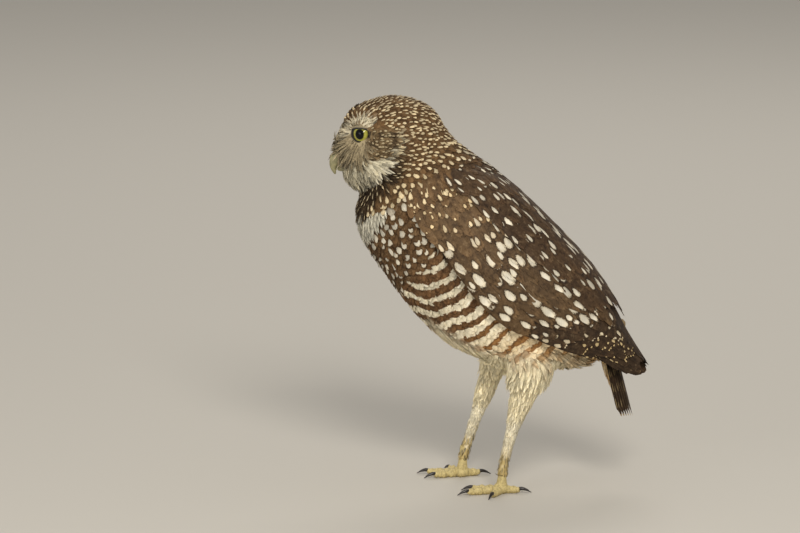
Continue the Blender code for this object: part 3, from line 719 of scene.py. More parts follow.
def feather_material(name, roughness, unshaded_length):
    """Feathers: a ground colour with spots, pale tips and bars, streaked along the barbs, with painted shade on the
    part that the feather above would cover, past a given length from the tip.
    """
    material = bpy.data.materials.new(name)
    material.use_nodes = True
    tree = material.node_tree
    nodes, links = tree.nodes, tree.links
    shader = nodes["Principled BSDF"]

    def calc(operation, first, second=0.0, third=0.0):
        """One sum, product or other step of arithmetic."""
        node = nodes.new("ShaderNodeMath")
        node.operation = operation
        for socket, value in zip(node.inputs, (first, second, third)):
            if isinstance(value, (int, float)):
                socket.default_value = value
            else:
                links.new(value, socket)
        return node.outputs[0]

    def step(value, low, high):
        """A smooth step from 0 at low to 1 at high."""
        node = nodes.new("ShaderNodeMapRange")
        node.interpolation_type = "SMOOTHSTEP"
        for socket, number in ((0, value), (1, low), (2, high)):
            if isinstance(number, (int, float)):
                node.inputs[socket].default_value = number
            else:
                links.new(number, node.inputs[socket])
        return node.outputs[0]

    def blend(kind, share, first, second):
        """Two colours mixed."""
        node = nodes.new("ShaderNodeMix")
        node.data_type = "RGBA"
        node.blend_type = kind
        if isinstance(share, (int, float)):
            node.inputs[0].default_value = share
        else:
            links.new(share, node.inputs[0])
        links.new(first, node.inputs[6])
        if isinstance(second, tuple):
            node.inputs[7].default_value = second
        else:
            links.new(second, node.inputs[7])
        return node.outputs[2]

    def stored(title):
        """The four numbers of a stored value."""
        node = nodes.new("ShaderNodeAttribute")
        node.attribute_name = title
        parts = nodes.new("ShaderNodeSeparateColor")
        links.new(node.outputs["Color"], parts.inputs[0])
        return node.outputs["Color"], (*parts.outputs, node.outputs["Alpha"])

    def noise(vector, scale, detail, dimensions="3D"):
        """A noise from 0 to 1."""
        node = nodes.new("ShaderNodeTexNoise")
        node.noise_dimensions = dimensions
        node.inputs["Scale"].default_value = scale
        node.inputs["Detail"].default_value = detail
        links.new(vector, node.inputs["W" if dimensions == "1D" else "Vector"])
        return node.outputs[0]

    where = nodes.new("ShaderNodeUVMap")
    where.uv_map = "Vane"
    split = nodes.new("ShaderNodeSeparateXYZ")
    links.new(where.outputs[0], split.inputs[0])
    across, along = split.outputs[0], split.outputs[1]
    place = nodes.new("ShaderNodeTexCoord").outputs["Object"]
    ground, (red, *_) = stored("ground")
    mark, _ = stored("mark")
    _, (half_wide, half_long, centre, pitch) = stored("spots")
    _, (offset, tip, bar_share, shaft) = stored("edges")
    rough_edge = calc("SUBTRACT", noise(place, 1400, 2), 0.5)

    one_side = calc("LESS_THAN", offset, 0.0)
    away = calc("ABSOLUTE", across)
    both_sides = calc("SUBTRACT", 1.0, one_side)
    chosen = calc("ADD", calc("MULTIPLY", across, one_side), calc("MULTIPLY", away, both_sides))
    aside = calc("SUBTRACT", chosen, calc("ABSOLUTE", offset))
    back = calc("SUBTRACT", along, centre)
    turns = calc("MULTIPLY", calc("ROUND", calc("DIVIDE", back, pitch)), pitch)
    back = calc("SUBTRACT", back, turns)
    back = calc("DIVIDE", back, half_long)
    narrow = calc("MAXIMUM", calc("MULTIPLY_ADD", back, -0.32, 1.0), 0.3)
    wide_part = calc("POWER", calc("ABSOLUTE", calc("DIVIDE", aside, calc("MULTIPLY", half_wide, narrow))), 2.0)
    long_part = calc("POWER", calc("ABSOLUTE", back), 2.0)
    far = calc("SQRT", calc("ADD", wide_part, long_part))
    spot = step(calc("ADD", far, calc("MULTIPLY", rough_edge, 0.8)), 1.15, 0.85)
    spot = calc("MULTIPLY", spot, calc("GREATER_THAN", half_wide, 0.05))

    tip_edge = step(calc("ADD", along, calc("MULTIPLY", rough_edge, 0.8)), tip, calc("MULTIPLY", tip, 0.4))
    tip_edge = calc("MULTIPLY", tip_edge, calc("GREATER_THAN", tip, 0.01))

    bars = nodes.new("ShaderNodeAttribute")
    bars.attribute_name = "bars"
    phase = calc("ADD", bars.outputs["Fac"], calc("MULTIPLY", rough_edge, 0.10))
    wave = calc("SINE", calc("MULTIPLY", phase, 2 * math.pi))
    wave = calc("ADD", wave, calc("MULTIPLY", calc("MINIMUM", phase, 8.0), 0.09))
    bar = calc("MULTIPLY", step(calc("MULTIPLY_ADD", bar_share, 2.2, wave), 2.26, 2.7), step(bar_share, 0.2, 0.5))
    dark = calc("MULTIPLY", step(calc("ABSOLUTE", calc("SUBTRACT", wave, 0.05)), 0.4, 0.0), bar_share)

    shade = blend("MULTIPLY", calc("MULTIPLY", dark, 0.6), ground, (0.40, 0.32, 0.26, 1))
    blotch = calc("ADD", calc("MULTIPLY", noise(place, 330, 3), 0.65), calc("MULTIPLY", noise(place, 1100, 2), 0.35))
    dim = step(red, 0.5, 0.15)
    shade = blend("MULTIPLY", calc("MULTIPLY", step(blotch, 0.50, 0.36), dim), shade, (0.52, 0.48, 0.44, 1))
    pale = calc("MULTIPLY", step(blotch, 0.53, 0.68), calc("MULTIPLY", dim, 0.5))
    shade = blend("SCREEN", pale, shade, (0.16, 0.115, 0.065, 1))
    outlined = calc("MULTIPLY", step(far, 1.7, 1.2), calc("GREATER_THAN", half_wide, 0.05))
    shade = blend("MULTIPLY", outlined, shade, (0.5, 0.46, 0.42, 1))
    marked = calc("MAXIMUM", calc("MAXIMUM", spot, tip_edge), bar)
    soiled = blend("MULTIPLY", step(far, 0.35, 1.0), mark, (0.90, 0.86, 0.78, 1))
    colour = blend("MIX", marked, shade, soiled)
    rachis = calc("MULTIPLY", step(away, 0.28, 0.05), shaft)
    colour = blend("MULTIPLY", rachis, colour, (0.45, 0.42, 0.4, 1))
    barbs = calc("ADD", calc("MULTIPLY", along, 1.0), calc("MULTIPLY", away, 0.85))
    streak = noise(barbs, 2.6, 2, "1D")
    tone = nodes.new("ShaderNodeMapRange")
    links.new(streak, tone.inputs[0])
    for socket, number in ((1, 0.25), (2, 0.75), (3, 0.80), (4, 1.16)):
        tone.inputs[socket].default_value = number
    broad = nodes.new("ShaderNodeMapRange")
    links.new(noise(place, 160, 3), broad.inputs[0])
    for socket, number in ((1, 0.3), (2, 0.7), (3, 0.88), (4, 1.12)):
        broad.inputs[socket].default_value = number
    both = calc("MULTIPLY", tone.outputs[0], broad.outputs[0])
    # Painted shade: lighter at the tip and darker further back, where the feather above would lie over this one and
    # shade it.
    both = calc("MULTIPLY", both, calc("MULTIPLY_ADD", step(along, unshaded_length, 0.2), 0.36, 0.80))
    scaled = nodes.new("ShaderNodeVectorMath")
    scaled.operation = "SCALE"
    links.new(colour, scaled.inputs[0])
    links.new(both, scaled.inputs["Scale"])
    links.new(scaled.outputs[0], shader.inputs["Base Color"])
    bump = nodes.new("ShaderNodeBump")
    bump.inputs["Strength"].default_value = 0.35
    bump.inputs["Distance"].default_value = 0.15 * MM
    links.new(streak, bump.inputs["Height"])
    links.new(bump.outputs[0], shader.inputs["Normal"])
    shader.inputs["Roughness"].default_value = roughness
    shader.inputs["Specular IOR Level"].default_value = 0.25
    return material


# Regions of the plumage

# Each region: its coat and the kind of its feathers; their length, half their width, how high the
# tips stand and the room between roots; the ground colour and the colour of its marks; and for its
# marked feathers the half width and half length of a spot, how far it lies from the tip, and the
# room between such feathers.
NO_SPOT = (0.0, 1.0, 1.0, 9.0)
REGIONS = {
    "back": ("coat_back", "feather", (10.0, 3.0, 1.8, 2.4), BACK, WHITE, (1.1, 2.9, 3.0, 4.8)),
    "neck": ("coat_neck", "feather", (7.6, 2.1, 1.5, 2.0), CROWN, CROWN_SPOT, (1.45, 2.3, 2.0, 3.0)),
    "breast": ("coat_breast", "feather", (8.4, 2.7, 1.5, 2.2), BREAST, WHITE, (2.0, 2.4, 2.3, 4.3)),
    "flank": ("coat_flank", "feather", (9.5, 2.8, 1.4, 2.2), FLANK, FLANK_WHITE, NO_SPOT),
    "belly": ("coat_belly", "tuft", (11.0, 2.6, 1.7, 2.6), BELLY, FLANK_WHITE, NO_SPOT),
    "vent": ("coat_belly", "tuft", (12.0, 2.6, 1.6, 2.6), VENT, FLANK_WHITE, NO_SPOT),
    "thigh": ("coat_legs", "tuft", (9.5, 2.0, 1.1, 2.2), THIGH, FLANK_WHITE, NO_SPOT),
    "skirt": ("coat_belly", "tuft", (13.0, 2.3, 4.0, 2.3), THIGH, FLANK_WHITE, NO_SPOT),
    "shank": ("coat_legs", "tuft", (6.0, 1.0, 0.6, 1.45), LEG, WHITE, NO_SPOT),
    "tarsus": ("coat_legs", "bristle", (3.4, 0.4, 0.9, 1.5), TARSUS, WHITE, NO_SPOT),
    "undertail": ("coat_undertail", "tuft", (12.0, 2.6, 1.6, 2.6), VENT, WHITE, NO_SPOT),
    "crown": ("coat_head", "small", (5.4, 1.3, 1.1, 1.6), CROWN, CROWN_SPOT, (0.6, 1.6, 1.4, 2.25)),
    "cheek": ("coat_face", "small", (4.2, 0.9, 1.0, 1.25), CHEEK, LORES * 1.2, (0.45, 1.3, 1.0, 1.9)),
    "lores": ("coat_face", "bristle", (5.6, 0.8, 1.4, 1.45), LORES, WHITE, NO_SPOT),
    "whiskers": ("coat_face", "bristle", (8.4, 0.9, 3.5, 1.35), LORES, WHITE, NO_SPOT),
    "gape": ("coat_face", "bristle", (3.6, 0.9, 2.4, 1.1), GAPE, WHITE, NO_SPOT),
    "brow": ("coat_face", "bristle", (4.8, 0.9, 1.5, 1.35), BROW, WHITE, NO_SPOT),
    "chin": ("coat_face", "bristle", (6.4, 1.1, 1.7, 1.7), CHIN, WHITE, NO_SPOT),
    "rim": ("coat_face", "bristle", (5.6, 1.1, 2.2, 1.6), RIM, WHITE, NO_SPOT),
    "ruff": ("coat_face", "bristle", (4.8, 1.0, 1.5, 1.5), RUFF, WHITE, NO_SPOT),
    # Dark bristles in the eyes' corners: painted shade in these recesses.
    "corner": ("coat_face", "bristle", (2.2, 0.5, 0.4, 1.3), LID_DARK, WHITE, NO_SPOT),
    "ear": ("coat_face", "bristle", (4.6, 0.8, 1.2, 1.4), COLLAR, CROWN, NO_SPOT),
    "collar": ("coat_neck", "bristle", (7.0, 1.4, 1.6, 1.8), COLLAR, CROWN_SPOT, (0.4, 2.2, 1.4, 2.8)),
    "crescent": ("coat_neck", "bristle", (7.0, 1.7, 1.7, 1.8), CRESCENT, WHITE, NO_SPOT),
    "wing": ("coat_back", "feather", (9.0, 3.0, 0.8, 2.6), FLIGHT, BUFF, NO_SPOT),
}
# Lines on the head, in its own frame as forward, sideways and up, with a marking along them.
BROW_LINE = ((31, 6, 9), (29.5, 9, 14), (26, 13, 18.5), (22, 17, 18.5), (19, 20, 17.5))
EAR_LINE = ((3, 8.5), (10, 6.5))
GAPE_LINE = ((33, 4.5, -7.5), (29, 10, -6.5), (25, 14, -5))
RUFF_LINE = ((3.5, 10.5), (1.8, 7.0), (2.2, 3.0), (5.5, -1.5))
# The throat patch: its upper and lower edge as forward and up.
CHIN_TOP = ((4, 6), (5.8, 3.9), (9.4, -1.1), (23.4, -8.1), (34, -9))
CHIN_FOOT = ((4, -3), (5.8, -6.2), (13.1, -15.4), (22.8, -23.9), (34, -28))
# The collar's middle line seen from the side: a point on it and the way across it, as x and z.
COLLAR_POINT = (-77.4, 176.3)
COLLAR_ACROSS = (0.72, -0.69)
# Centre of the arcs that the bars of the flank follow, as x and z, the distance between bars and
# the place of the first among them.
BARS_CENTRE = (-39.5, 151.0)
BARS_APART = 8.6
BARS_START = 0.5
BILL_BASE = (34.0, 0.0, -2.0)
NEAR_BILL = (30.0, 5.0, -3.0)


def near_line(points, line):
    """The distance of points to a line of straight stretches."""
    best = np.full(len(points), 1e9)
    for start, end in zip(line[:-1], line[1:]):
        start, run = np.array(start, float), np.subtract(end, start).astype(float)
        share = np.clip((points - start) @ run / (run @ run), 0, 1)
        best = np.minimum(best, np.linalg.norm(points - start - share[:, None] * run, axis=1))
    return best


def read_line(line, value):
    """The second number of a line of pairs where its first is the value."""
    return np.interp(value, [pair[0] for pair in line], [pair[1] for pair in line])


def trunk_place(points, rows):
    """The place of points along the rows' sections and their angle from the back line."""
    t = np.linspace(0, len(rows) - 1, 181)
    back_x, back_z, belly_x, belly_z, half = between(rows, t).T
    run_x, run_z = belly_x - back_x, belly_z - back_z
    off = run_x * (points[:, 2, None] - back_z) - run_z * (points[:, 0, None] - back_x)
    found = np.argmin(np.abs(off / np.hypot(run_x, run_z)), axis=1)
    middle_x, middle_z = (back_x + belly_x)[found] / 2, (back_z + belly_z)[found] / 2
    up_x, up_z = back_x[found] - middle_x, back_z[found] - middle_z
    cos = ((points[:, 0] - middle_x) * up_x + (points[:, 2] - middle_z) * up_z) / (up_x**2 + up_z**2)
    return t[found], np.arctan2(np.abs(points[:, 1]) / half[found], cos)


def on_wing(points, margin, start=0.0):
    """Whether the wing's pad lies there, less a margin in degrees at its edges."""
    t, angle = trunk_place(points, MANTLE)
    s = (t - WING_START) / (WING_END - WING_START)
    over, _ = on_mantle(s, np.degrees(angle), np.zeros(len(s)), np.sign(points[:, 1]))
    near = np.linalg.norm(over - points, axis=1) < 7.5
    high = read_line([row[:2] for row in WING_PAD], s)
    low = read_line([(row[0], row[2]) for row in WING_PAD], s)
    degrees = np.degrees(angle)
    inside = (degrees > np.maximum(high + margin, 15)) & (degrees < low - margin)
    return near & inside & (s > start) & (s < 0.95)


def bar_phase(points):
    """The place among the flank's bars."""
    flat = points.reshape(-1, 3)
    far = np.hypot(flat[:, 0] - BARS_CENTRE[0], flat[:, 2] - BARS_CENTRE[1])
    uneven = 0.10 * wobble(flat, 16, 3) + 0.05 * wobble(flat, 5, 4)
    return (far / BARS_APART + BARS_START + uneven).reshape(points.shape[:-1])


def eye_corner_shade(points, side):
    """How much a point lies in the corners ahead of an eye and behind it, painted dark as shade in these recesses."""
    centre, axis, forward, above = eye_axes(side)
    away = points - centre - axis * EYE_RADIUS
    level = away @ forward
    reach = np.where(level > 0, 8.2, 8.0)
    return smooth(reach, reach - 1.2, np.abs(level)) * smooth(2.6, 1.6, np.abs(away @ above)) * (away @ axis > -8)


def head_share(points):
    """1 on the head and 0 below the line from the throat to the nape."""
    return smooth(-4, 3, (points[:, 2] - 194.5) * 0.834 - (points[:, 0] + 52) * 0.551)


def masks(points):
    """How much of each point each region has, in the order in which they lie over one another."""
    head = to_head(points)
    aside = head * np.where(head[:, 1:2] < 0, (1, -1, 1), 1)
    ahead, up = head[:, 0], head[:, 2]
    x, z = points[:, 0], points[:, 2]
    wide = np.abs(points[:, 1])
    t, angle = trunk_place(points, BODY)
    degrees = np.degrees(angle)
    above = head_share(points)
    uneven = wobble(points, 9, 5)
    fine = wobble(points, 4, 6)
    across = (x - COLLAR_POINT[0]) * COLLAR_ACROSS[0] + (z - COLLAR_POINT[1]) * COLLAR_ACROSS[1]
    across = across + 0.7 * uneven + 0.5 * fine
    front = smooth(66, 84, degrees)
    barred = smooth(5, -5, z - 155 - 1.29 * (x + 36) + 2.5 * uneven)
    tail = smooth(50, 60, x) * smooth(112, 100, z)
    throat = smooth(1.2, -1.2, up - read_line(CHIN_TOP, ahead) + 1.2 * fine)
    throat = throat * smooth(-2, 2, up - read_line(CHIN_FOOT, ahead) + fine) * smooth(6, 9, ahead)
    ribbon = smooth(-53, -61, x)
    collar_half = 3.4 + 3.6 * smooth(-64, -80, x)
    return {
        "neck": smooth(3.0, 1.8, t + 0.2 * uneven),
        "breast": front * smooth(12, 14, across),
        "flank": front * barred,
        "belly": smooth(134, 148, degrees + 4 * uneven) * smooth(112, 95, z + 4 * uneven),
        "vent": front * smooth(85.0, 93.0, np.hypot(x - BARS_CENTRE[0], z - BARS_CENTRE[1]) + 2 * uneven),
        "thigh": smooth(93, 82, z + 3 * uneven) * smooth(50, 42, x),
        "skirt": smooth(-8, 4, x) * smooth(54, 46, x) * smooth(90, 84, z) * smooth(70, 76, z) * smooth(95, 110, degrees),
        "shank": smooth(54, 47, z) * smooth(52, 44, x),
        "tarsus": smooth(38, 16, z + 5 * fine) * smooth(52, 44, x),
        "undertail": tail * smooth(16, 12, wide),
        "wing": np.where(on_wing(points, -3), 1.0, tail * smooth(12, 16, wide)),
        "crown": above,
        "cheek": above * smooth(24, 20, ahead) * smooth(1, 5, ahead) * smooth(15, 11, up) * smooth(12, 16, aside[:, 1]),
        "lores": above * smooth(18, 22, ahead + 0.8 * fine) * smooth(16, 13, up),
        "whiskers": above * smooth(23, 25, ahead) * smooth(11, 8, np.linalg.norm(aside - NEAR_BILL, axis=1)),
        "gape": above * smooth(2.0, 1.2, near_line(aside, GAPE_LINE) + 0.5 * fine),
        "brow": above * smooth(4.0, 2.8, near_line(aside, BROW_LINE) + 0.6 * fine),
        "ear": above * smooth(1.1, 0.4, np.abs(ahead - read_line(EAR_LINE, up))) * smooth(0, 2, up) * smooth(12, 10, up),
        "ruff": above * smooth(2.4, 1.0, near_line(head[:, ::2], RUFF_LINE) + 1.0 * fine),
        "chin": throat,
        "rim": throat * smooth(6.5, 3.0, up - read_line(CHIN_FOOT, ahead) + fine) * smooth(22, 16, ahead),
        "collar": ribbon * smooth(1.4, -0.4, np.abs(across + 1.0) - collar_half) * (1 - throat),
        "crescent": ribbon * smooth(0.8, -0.4, np.abs(across - 11.2) - 5.2 * smooth(-57, -72, x)),
        "corner": np.maximum(*(eye_corner_shade(points, side) for side in SIDES)),
    }


class Plumage:
    """What the coat is like at each point: sizes, colours and marks, mixed from the regions."""

    def __init__(self, points):
        self.coat = np.full(len(points), REGIONS["back"][0], object)
        self.kind = np.full(len(points), REGIONS["back"][1], object)
        start = [np.asarray(value, float) for value in REGIONS["back"][2:]]
        self.size, self.ground, self.mark, self.spot = (np.tile(value, (len(points), 1)) for value in start)
        shares = masks(points)
        for name, share in shares.items():
            coat, kind, size, ground, mark, spot = REGIONS[name]
            self.size = mix(self.size, np.array(size), share)
            self.ground = mix(self.ground, ground, share)
            self.mark = mix(self.mark, mark, share)
            self.spot = mix(self.spot, np.array(spot), share)
            self.coat[share > 0.5] = coat
            self.kind[share > 0.5] = kind
        self.tone = 1 + 0.09 * wobble(points, 13, 11) + 0.05 * wobble(points, 5, 12)
        head = to_head(points)
        aside = head * np.where(head[:, 1:2] < 0, (1, -1, 1), 1)
        close = smooth(13, 6.5, np.linalg.norm(aside - np.array(EYE_ON_FACE), axis=1))
        self.size[:, :3] *= (1 - 0.45 * close * head_share(points))[:, None]
        self.size[:, 3] *= 1 - 0.2 * close * head_share(points)
        _, angle = trunk_place(points, BODY)
        beside = 0.35 * smooth(108, 84, np.degrees(angle)) * shares["breast"] * (1 - head_share(points))
        self.spot[:, :2] *= 1 + beside[:, None]
        self.bars = shares["flank"] * (1 - shares["belly"]) * (1 - shares["thigh"]) * (1 - shares["wing"])
        self.bars *= 1 - 0.17 * smooth(84, 125, np.degrees(angle)) * smooth(8, 4, bar_phase(points))
        phase = bar_phase(points)
        self.ground = mix(self.ground, RUFOUS, 0.6 * smooth(5.0, 8.5, phase) * self.bars)
        self.mark = mix(self.mark, self.mark * 0.66, smooth(6.0, 1.5, phase) * self.bars)
        self.mark = mix(self.mark, VENT * 1.05, 0.5 * smooth(6.5, 9.5, phase) * self.bars)
        self.mark = mix(self.mark, self.mark * 0.8, shares["breast"] * (1 - self.bars) * (1 - head_share(points)))


def flow(points):
    """The lie of the coat: away from the eyes and the bill on the head, and back along the body."""
    head = to_head(points)
    sign = np.where(head[:, 1] < 0, -1.0, 1.0)
    side = np.stack((np.ones(len(sign)), sign, np.ones(len(sign))), -1)
    from_eye = head - np.array(EYE_ON_FACE) * side
    gap = np.linalg.norm(from_eye, axis=1)
    front = smooth(19, 25, head[:, 0])
    face = smooth(16 + 10 * front, 9 + 7 * front, gap)
    on_head = unit(head - np.array(BILL_BASE))
    on_head = mix(on_head, np.array((-0.35, 0.0, -0.94)), smooth(-4, -14, head[:, 2]) * smooth(8, 16, head[:, 0]))
    on_head = unit(mix(on_head, unit(from_eye), face)) @ head_axes()
    t, angle = trunk_place(points, BODY)
    sign = np.where(points[:, 1] < 0, -1.0, 1.0)
    back = unit(on_section(BODY, t + 0.1, angle, sign) - on_section(BODY, t - 0.1, angle, sign))
    shares = masks(points)
    on_body = mix(back, np.array((-0.22, 0.0, -0.97)), shares["thigh"])
    on_body = mix(on_body, np.array((0.2, 0.0, -0.98)), smooth(54, 62, points[:, 0]) * smooth(105, 95, points[:, 2]))
    return unit(mix(on_body, on_head, smooth(-9, 2, (points[:, 2] - 194.5) * 0.834 - (points[:, 0] + 52) * 0.551)))


def bare(points):
    """Where no body feathers grow: the eyes, the bill, the feet and the place under the wings."""
    head = to_head(points)
    eye = np.zeros(len(points), bool)
    for side in SIDES:
        centre, axis, forward, above = eye_axes(side)
        away = points - centre - axis * EYE_RADIUS
        rise = away @ above
        level, tall, deep = (away @ forward) / 7.0, rise / np.where(rise > 0, 4.0, 4.9), (away @ axis) / 9.0
        eye |= level**2 + tall**2 + deep**2 < 1
    bill = (head[:, 0] > 30.5) & (np.abs(head[:, 1]) < 4.4) & (head[:, 2] < -3.0) & (head[:, 2] > -15)
    under_wing = on_wing(points, 7.0, 0.08) | ((points[:, 0] > 56) & (np.abs(points[:, 1]) > 14))
    tail_end = (points[:, 0] > 60) & (points[:, 2] < 55)
    return eye | bill | (points[:, 2] < 8.0) | under_wing | tail_end


OUTLINE_SOFT = ((0.0, 0.25), (0.2, 0.7), (0.45, 1.0), (0.7, 0.97), (0.88, 0.72), (1.0, 0.3))
OUTLINE_ROUND = ((0.0, 0.35), (0.2, 0.85), (0.5, 1.0), (0.78, 0.96), (0.92, 0.74), (1.0, 0.34))
OUTLINE_LONG = ((0.0, 0.5), (0.15, 0.85), (0.4, 1.0), (0.8, 0.94), (0.93, 0.7), (1.0, 0.25))
OUTLINE_BLUNT = ((0.0, 0.5), (0.15, 0.85), (0.4, 1.0), (0.84, 1.0), (0.93, 0.84), (0.98, 0.55), (1.0, 0.3))
OUTLINE_TUFT = ((0.0, 0.3), (0.25, 0.62), (0.5, 0.6), (0.75, 0.35), (1.0, 0.08))
OUTLINE_BRISTLE = ((0.0, 0.35), (0.3, 0.75), (0.6, 0.6), (0.85, 0.3), (1.0, 0.06))


def templates(kind, seed):
    """The forms of the small feathers of a kind, which differ a little."""
    forms = {
        "feather": (OUTLINE_SOFT, 6, 5, 0.09, 10, 0.16, 0),
        "small": (OUTLINE_SOFT, 5, 5, 0.09, 6, 0.20, 0),
        "tuft": (OUTLINE_TUFT, 5, 3, 0.09, 0, 0.0, 12),
        "bristle": (OUTLINE_BRISTLE, 5, 3, 0.08, 0, 0.0, 6),
    }
    return [Template(*forms[kind], seed + k) for k in range(4)]


def small_look(plumage, draw, spotted):
    """The look of body feathers."""
    length, half, lift, _ = plumage.size.T
    count = len(length)
    spots = np.tile((0.01, 1.0, 1.0, 200.0), (count, 1))
    if spotted:
        spots[:, :3] = plumage.spot[:, :3] * draw.uniform(0.6, 1.3, (count, 3))
    edges = np.zeros((count, 4))
    edges[:, 2] = plumage.bars
    edges[:, 3] = 0.25
    tone = draw.uniform(0.82, 1.16, count) * plumage.tone
    tone = np.where(plumage.kind == "tuft", 1 + (tone - 1) * 0.5, tone)
    speckled = (plumage.kind == "bristle") & (plumage.coat == "coat_legs")
    tone = np.where(speckled, tone * draw.choice((0.5, 0.9, 1.3), count), tone)
    face = plumage.coat == "coat_face"
    tone = np.where(face & (draw.random(count) < 0.16), tone * 0.5, tone)
    tone = np.where(face, tone * draw.uniform(0.75, 1.3, count), tone)[:, None]
    return {
        "length": length * draw.uniform(0.86, 1.14, count),
        "half": half * draw.uniform(0.88, 1.12, count),
        "hand": draw.choice((-1.0, 1.0), count),
        "lift": lift * draw.uniform(0.8, 1.15, count) + (0.4 if spotted else 0.0),
        "sink": np.full(count, 0.35),
        "cup": 0.16 * half,
        "tilt": draw.uniform(-0.2, 0.2, count) * half * 0.3,
        "ground": plumage.ground * tone,
        "mark": plumage.mark * (draw.uniform(0.62, 1.05, count) ** (1 - 0.7 * plumage.bars))[:, None],
        "spots": spots,
        "edges": edges,
        "bars": bar_phase,
        "jitter": draw.normal(0, 0.05, count),
    }


def picked(look, chosen):
    """The rows of a look for some of its feathers."""
    return {key: value if callable(value) else value[chosen] for key, value in look.items()}


def turned(directions, outs, angles):
    """Directions turned about what stands on the skin."""
    across = np.cross(outs, directions)
    return directions * np.cos(angles)[:, None] + across * np.sin(angles)[:, None]


def lay(coats, skin, seed, spotted):
    """Lays body feathers all over the skin, each into the coat of its region."""
    draw = np.random.default_rng(seed)

    def spacing(points, _):
        plumage = Plumage(points)
        room = plumage.spot[:, 3] if spotted else plumage.size[:, 3]
        return np.where(bare(points), 0, room)

    roots, outs, triangles = skin.scatter(spacing, seed)
    plumage = Plumage(roots)
    look = small_look(plumage, draw, spotted)
    directions = flow(roots)
    directions = unit(directions - outs * np.sum(directions * outs, axis=1, keepdims=True))
    directions = turned(directions, outs, draw.normal(0, 0.14, len(roots)))
    patches = skin.patch_of(roots, triangles)
    form = draw.integers(0, 4, len(roots))
    for kind in ("feather", "small", "tuft", "bristle"):
        for k, template in enumerate(templates(kind, seed)):
            for name, coat in coats.items():
                chosen = (plumage.coat == name) & (plumage.kind == kind) & (form == k)
                if chosen.any():
                    part = picked(look, chosen)
                    nets, above = skin_nets(
                        skin, roots[chosen], directions[chosen], part["length"], part["half"]
                    )
                    coat.add(template, nets, above, part, patches[chosen])


# Wings

# Each group of a wing's feathers: how many tiers and feathers a tier, then its first and last tier,
# and their looks. A tier has root and tip of its first and of its last feather, as a place along
# the wing and degrees from the back line, half their width, and how far the first and the last
# feather lie over the wing's form.
WING_GROUPS = (
    (
        1, 9, (0.56, 92, 1.00, 81, 0.60, 70, 0.90, 72, 4.6, -5.2, -3.0),
        (0.56, 92, 1.00, 81, 0.60, 70, 0.90, 72, 4.6, -5.2, -3.0), "primary", "primary",
    ),
    (
        1, 10, (0.60, 72, 0.96, 79, 0.58, 8, 0.93, 14, 5.6, -3.4, -2.2),
        (0.60, 72, 0.96, 79, 0.58, 8, 0.93, 14, 5.6, -3.4, -2.2), "tip", "tip",
    ),
    (
        4, 9, (0.28, 97, 0.52, 101, 0.36, 26, 0.72, 38, 5.2, -1.2, -0.9),
        (0.46, 96, 0.75, 97, 0.50, 34, 0.90, 44, 5.0, -2.4, -1.6), "secondary", "end",
    ),
    (
        9, 8, (-0.05, 90, 0.03, 95, -0.02, 54, 0.07, 62, 3.2, -0.9, -0.9),
        (0.24, 97, 0.47, 102, 0.30, 34, 0.68, 48, 5.2, -0.6, -0.5), "shoulder", "covert",
    ),
    (
        3, 10, (-0.10, 91, -0.03, 96, -0.08, 46, 0.01, 54, 2.2, -0.9, -0.9),
        (-0.07, 91, 0.03, 97, -0.04, 46, 0.07, 56, 2.6, -0.7, -0.7), "front", "front",
    ),
    (
        9, 9, (-0.03, 55, 0.05, 58, 0.00, 10, 0.10, 9, 3.0, 0.4, -3.0),
        (0.32, 44, 0.60, 52, 0.38, -3, 0.71, 1, 4.6, 0.6, -0.4), "mantle", "scapular",
    ),
)
# Each look: ground, marks, and the marks' half width, half length, place from the tip, distance
# between them and place from the shaft as a share of the half width; the share of feathers that
# have them; then how wide the pale tip is and how dark the shaft.
VANE_LOOKS = {
    "primary": (FLIGHT, BUFF, (1.2, 1.4, 20.0, 9.0, 0.9), 1.0, 0.3, 0.5),
    "tip": (FLIGHT, BUFF, (0.6, 1.0, 20.0, 9.0, 0.9), 0.2, 0.0, 0.5),
    "end": (FLIGHT, srgb(200, 178, 134), (0.95, 1.5, 4.6, 9.0, 0.5), 0.42, 0.3, 0.4),
    "secondary": (FLIGHT * 1.35, WHITE, (1.6, 2.8, 4.8, 10.0, 0.42), 0.56, 0.0, 0.4),
    "front": (CROWN, CROWN_SPOT, (1.0, 1.8, 2.0, 30.0, 0.3), 0.6, 0.0, 0.3),
    "shoulder": (COVERT * 0.86, srgb(214, 192, 152), (0.8, 1.3, 1.8, 9.0, 0.3), 0.8, 0.0, 0.3),
    "covert": (COVERT * 0.66, WHITE, (2.2, 4.0, 5.4, 12.0, 0.36), 0.8, 0.0, 0.35),
    "mantle": (BACK * 1.1, WHITE * 0.85, (0.95, 2.9, 3.4, 10.0, 0.42), 0.62, 0.0, 0.3),
    "scapular": (BACK, WHITE * 0.9, (1.55, 3.6, 5.2, 13.0, 0.36), 0.46, 0.0, 0.35),
    "tail": (FLIGHT * 1.3, srgb(178, 154, 112), (0.35, 3.6, 8.0, 10.0, 0.85), 0.9, 0.6, 0.4),
}
WING_REACH = {"left": 0.965, "right": 1.0}
# How far the inner edge of the left wing lies over that of the right one.
INNER_OVER = 0.35
WING_NET_ROWS = 9
# The curve of the folded wing across its feathers, and the half size of their flat patches.
WING_RADIUS = 42.0
VANE_PATCH = 0.004


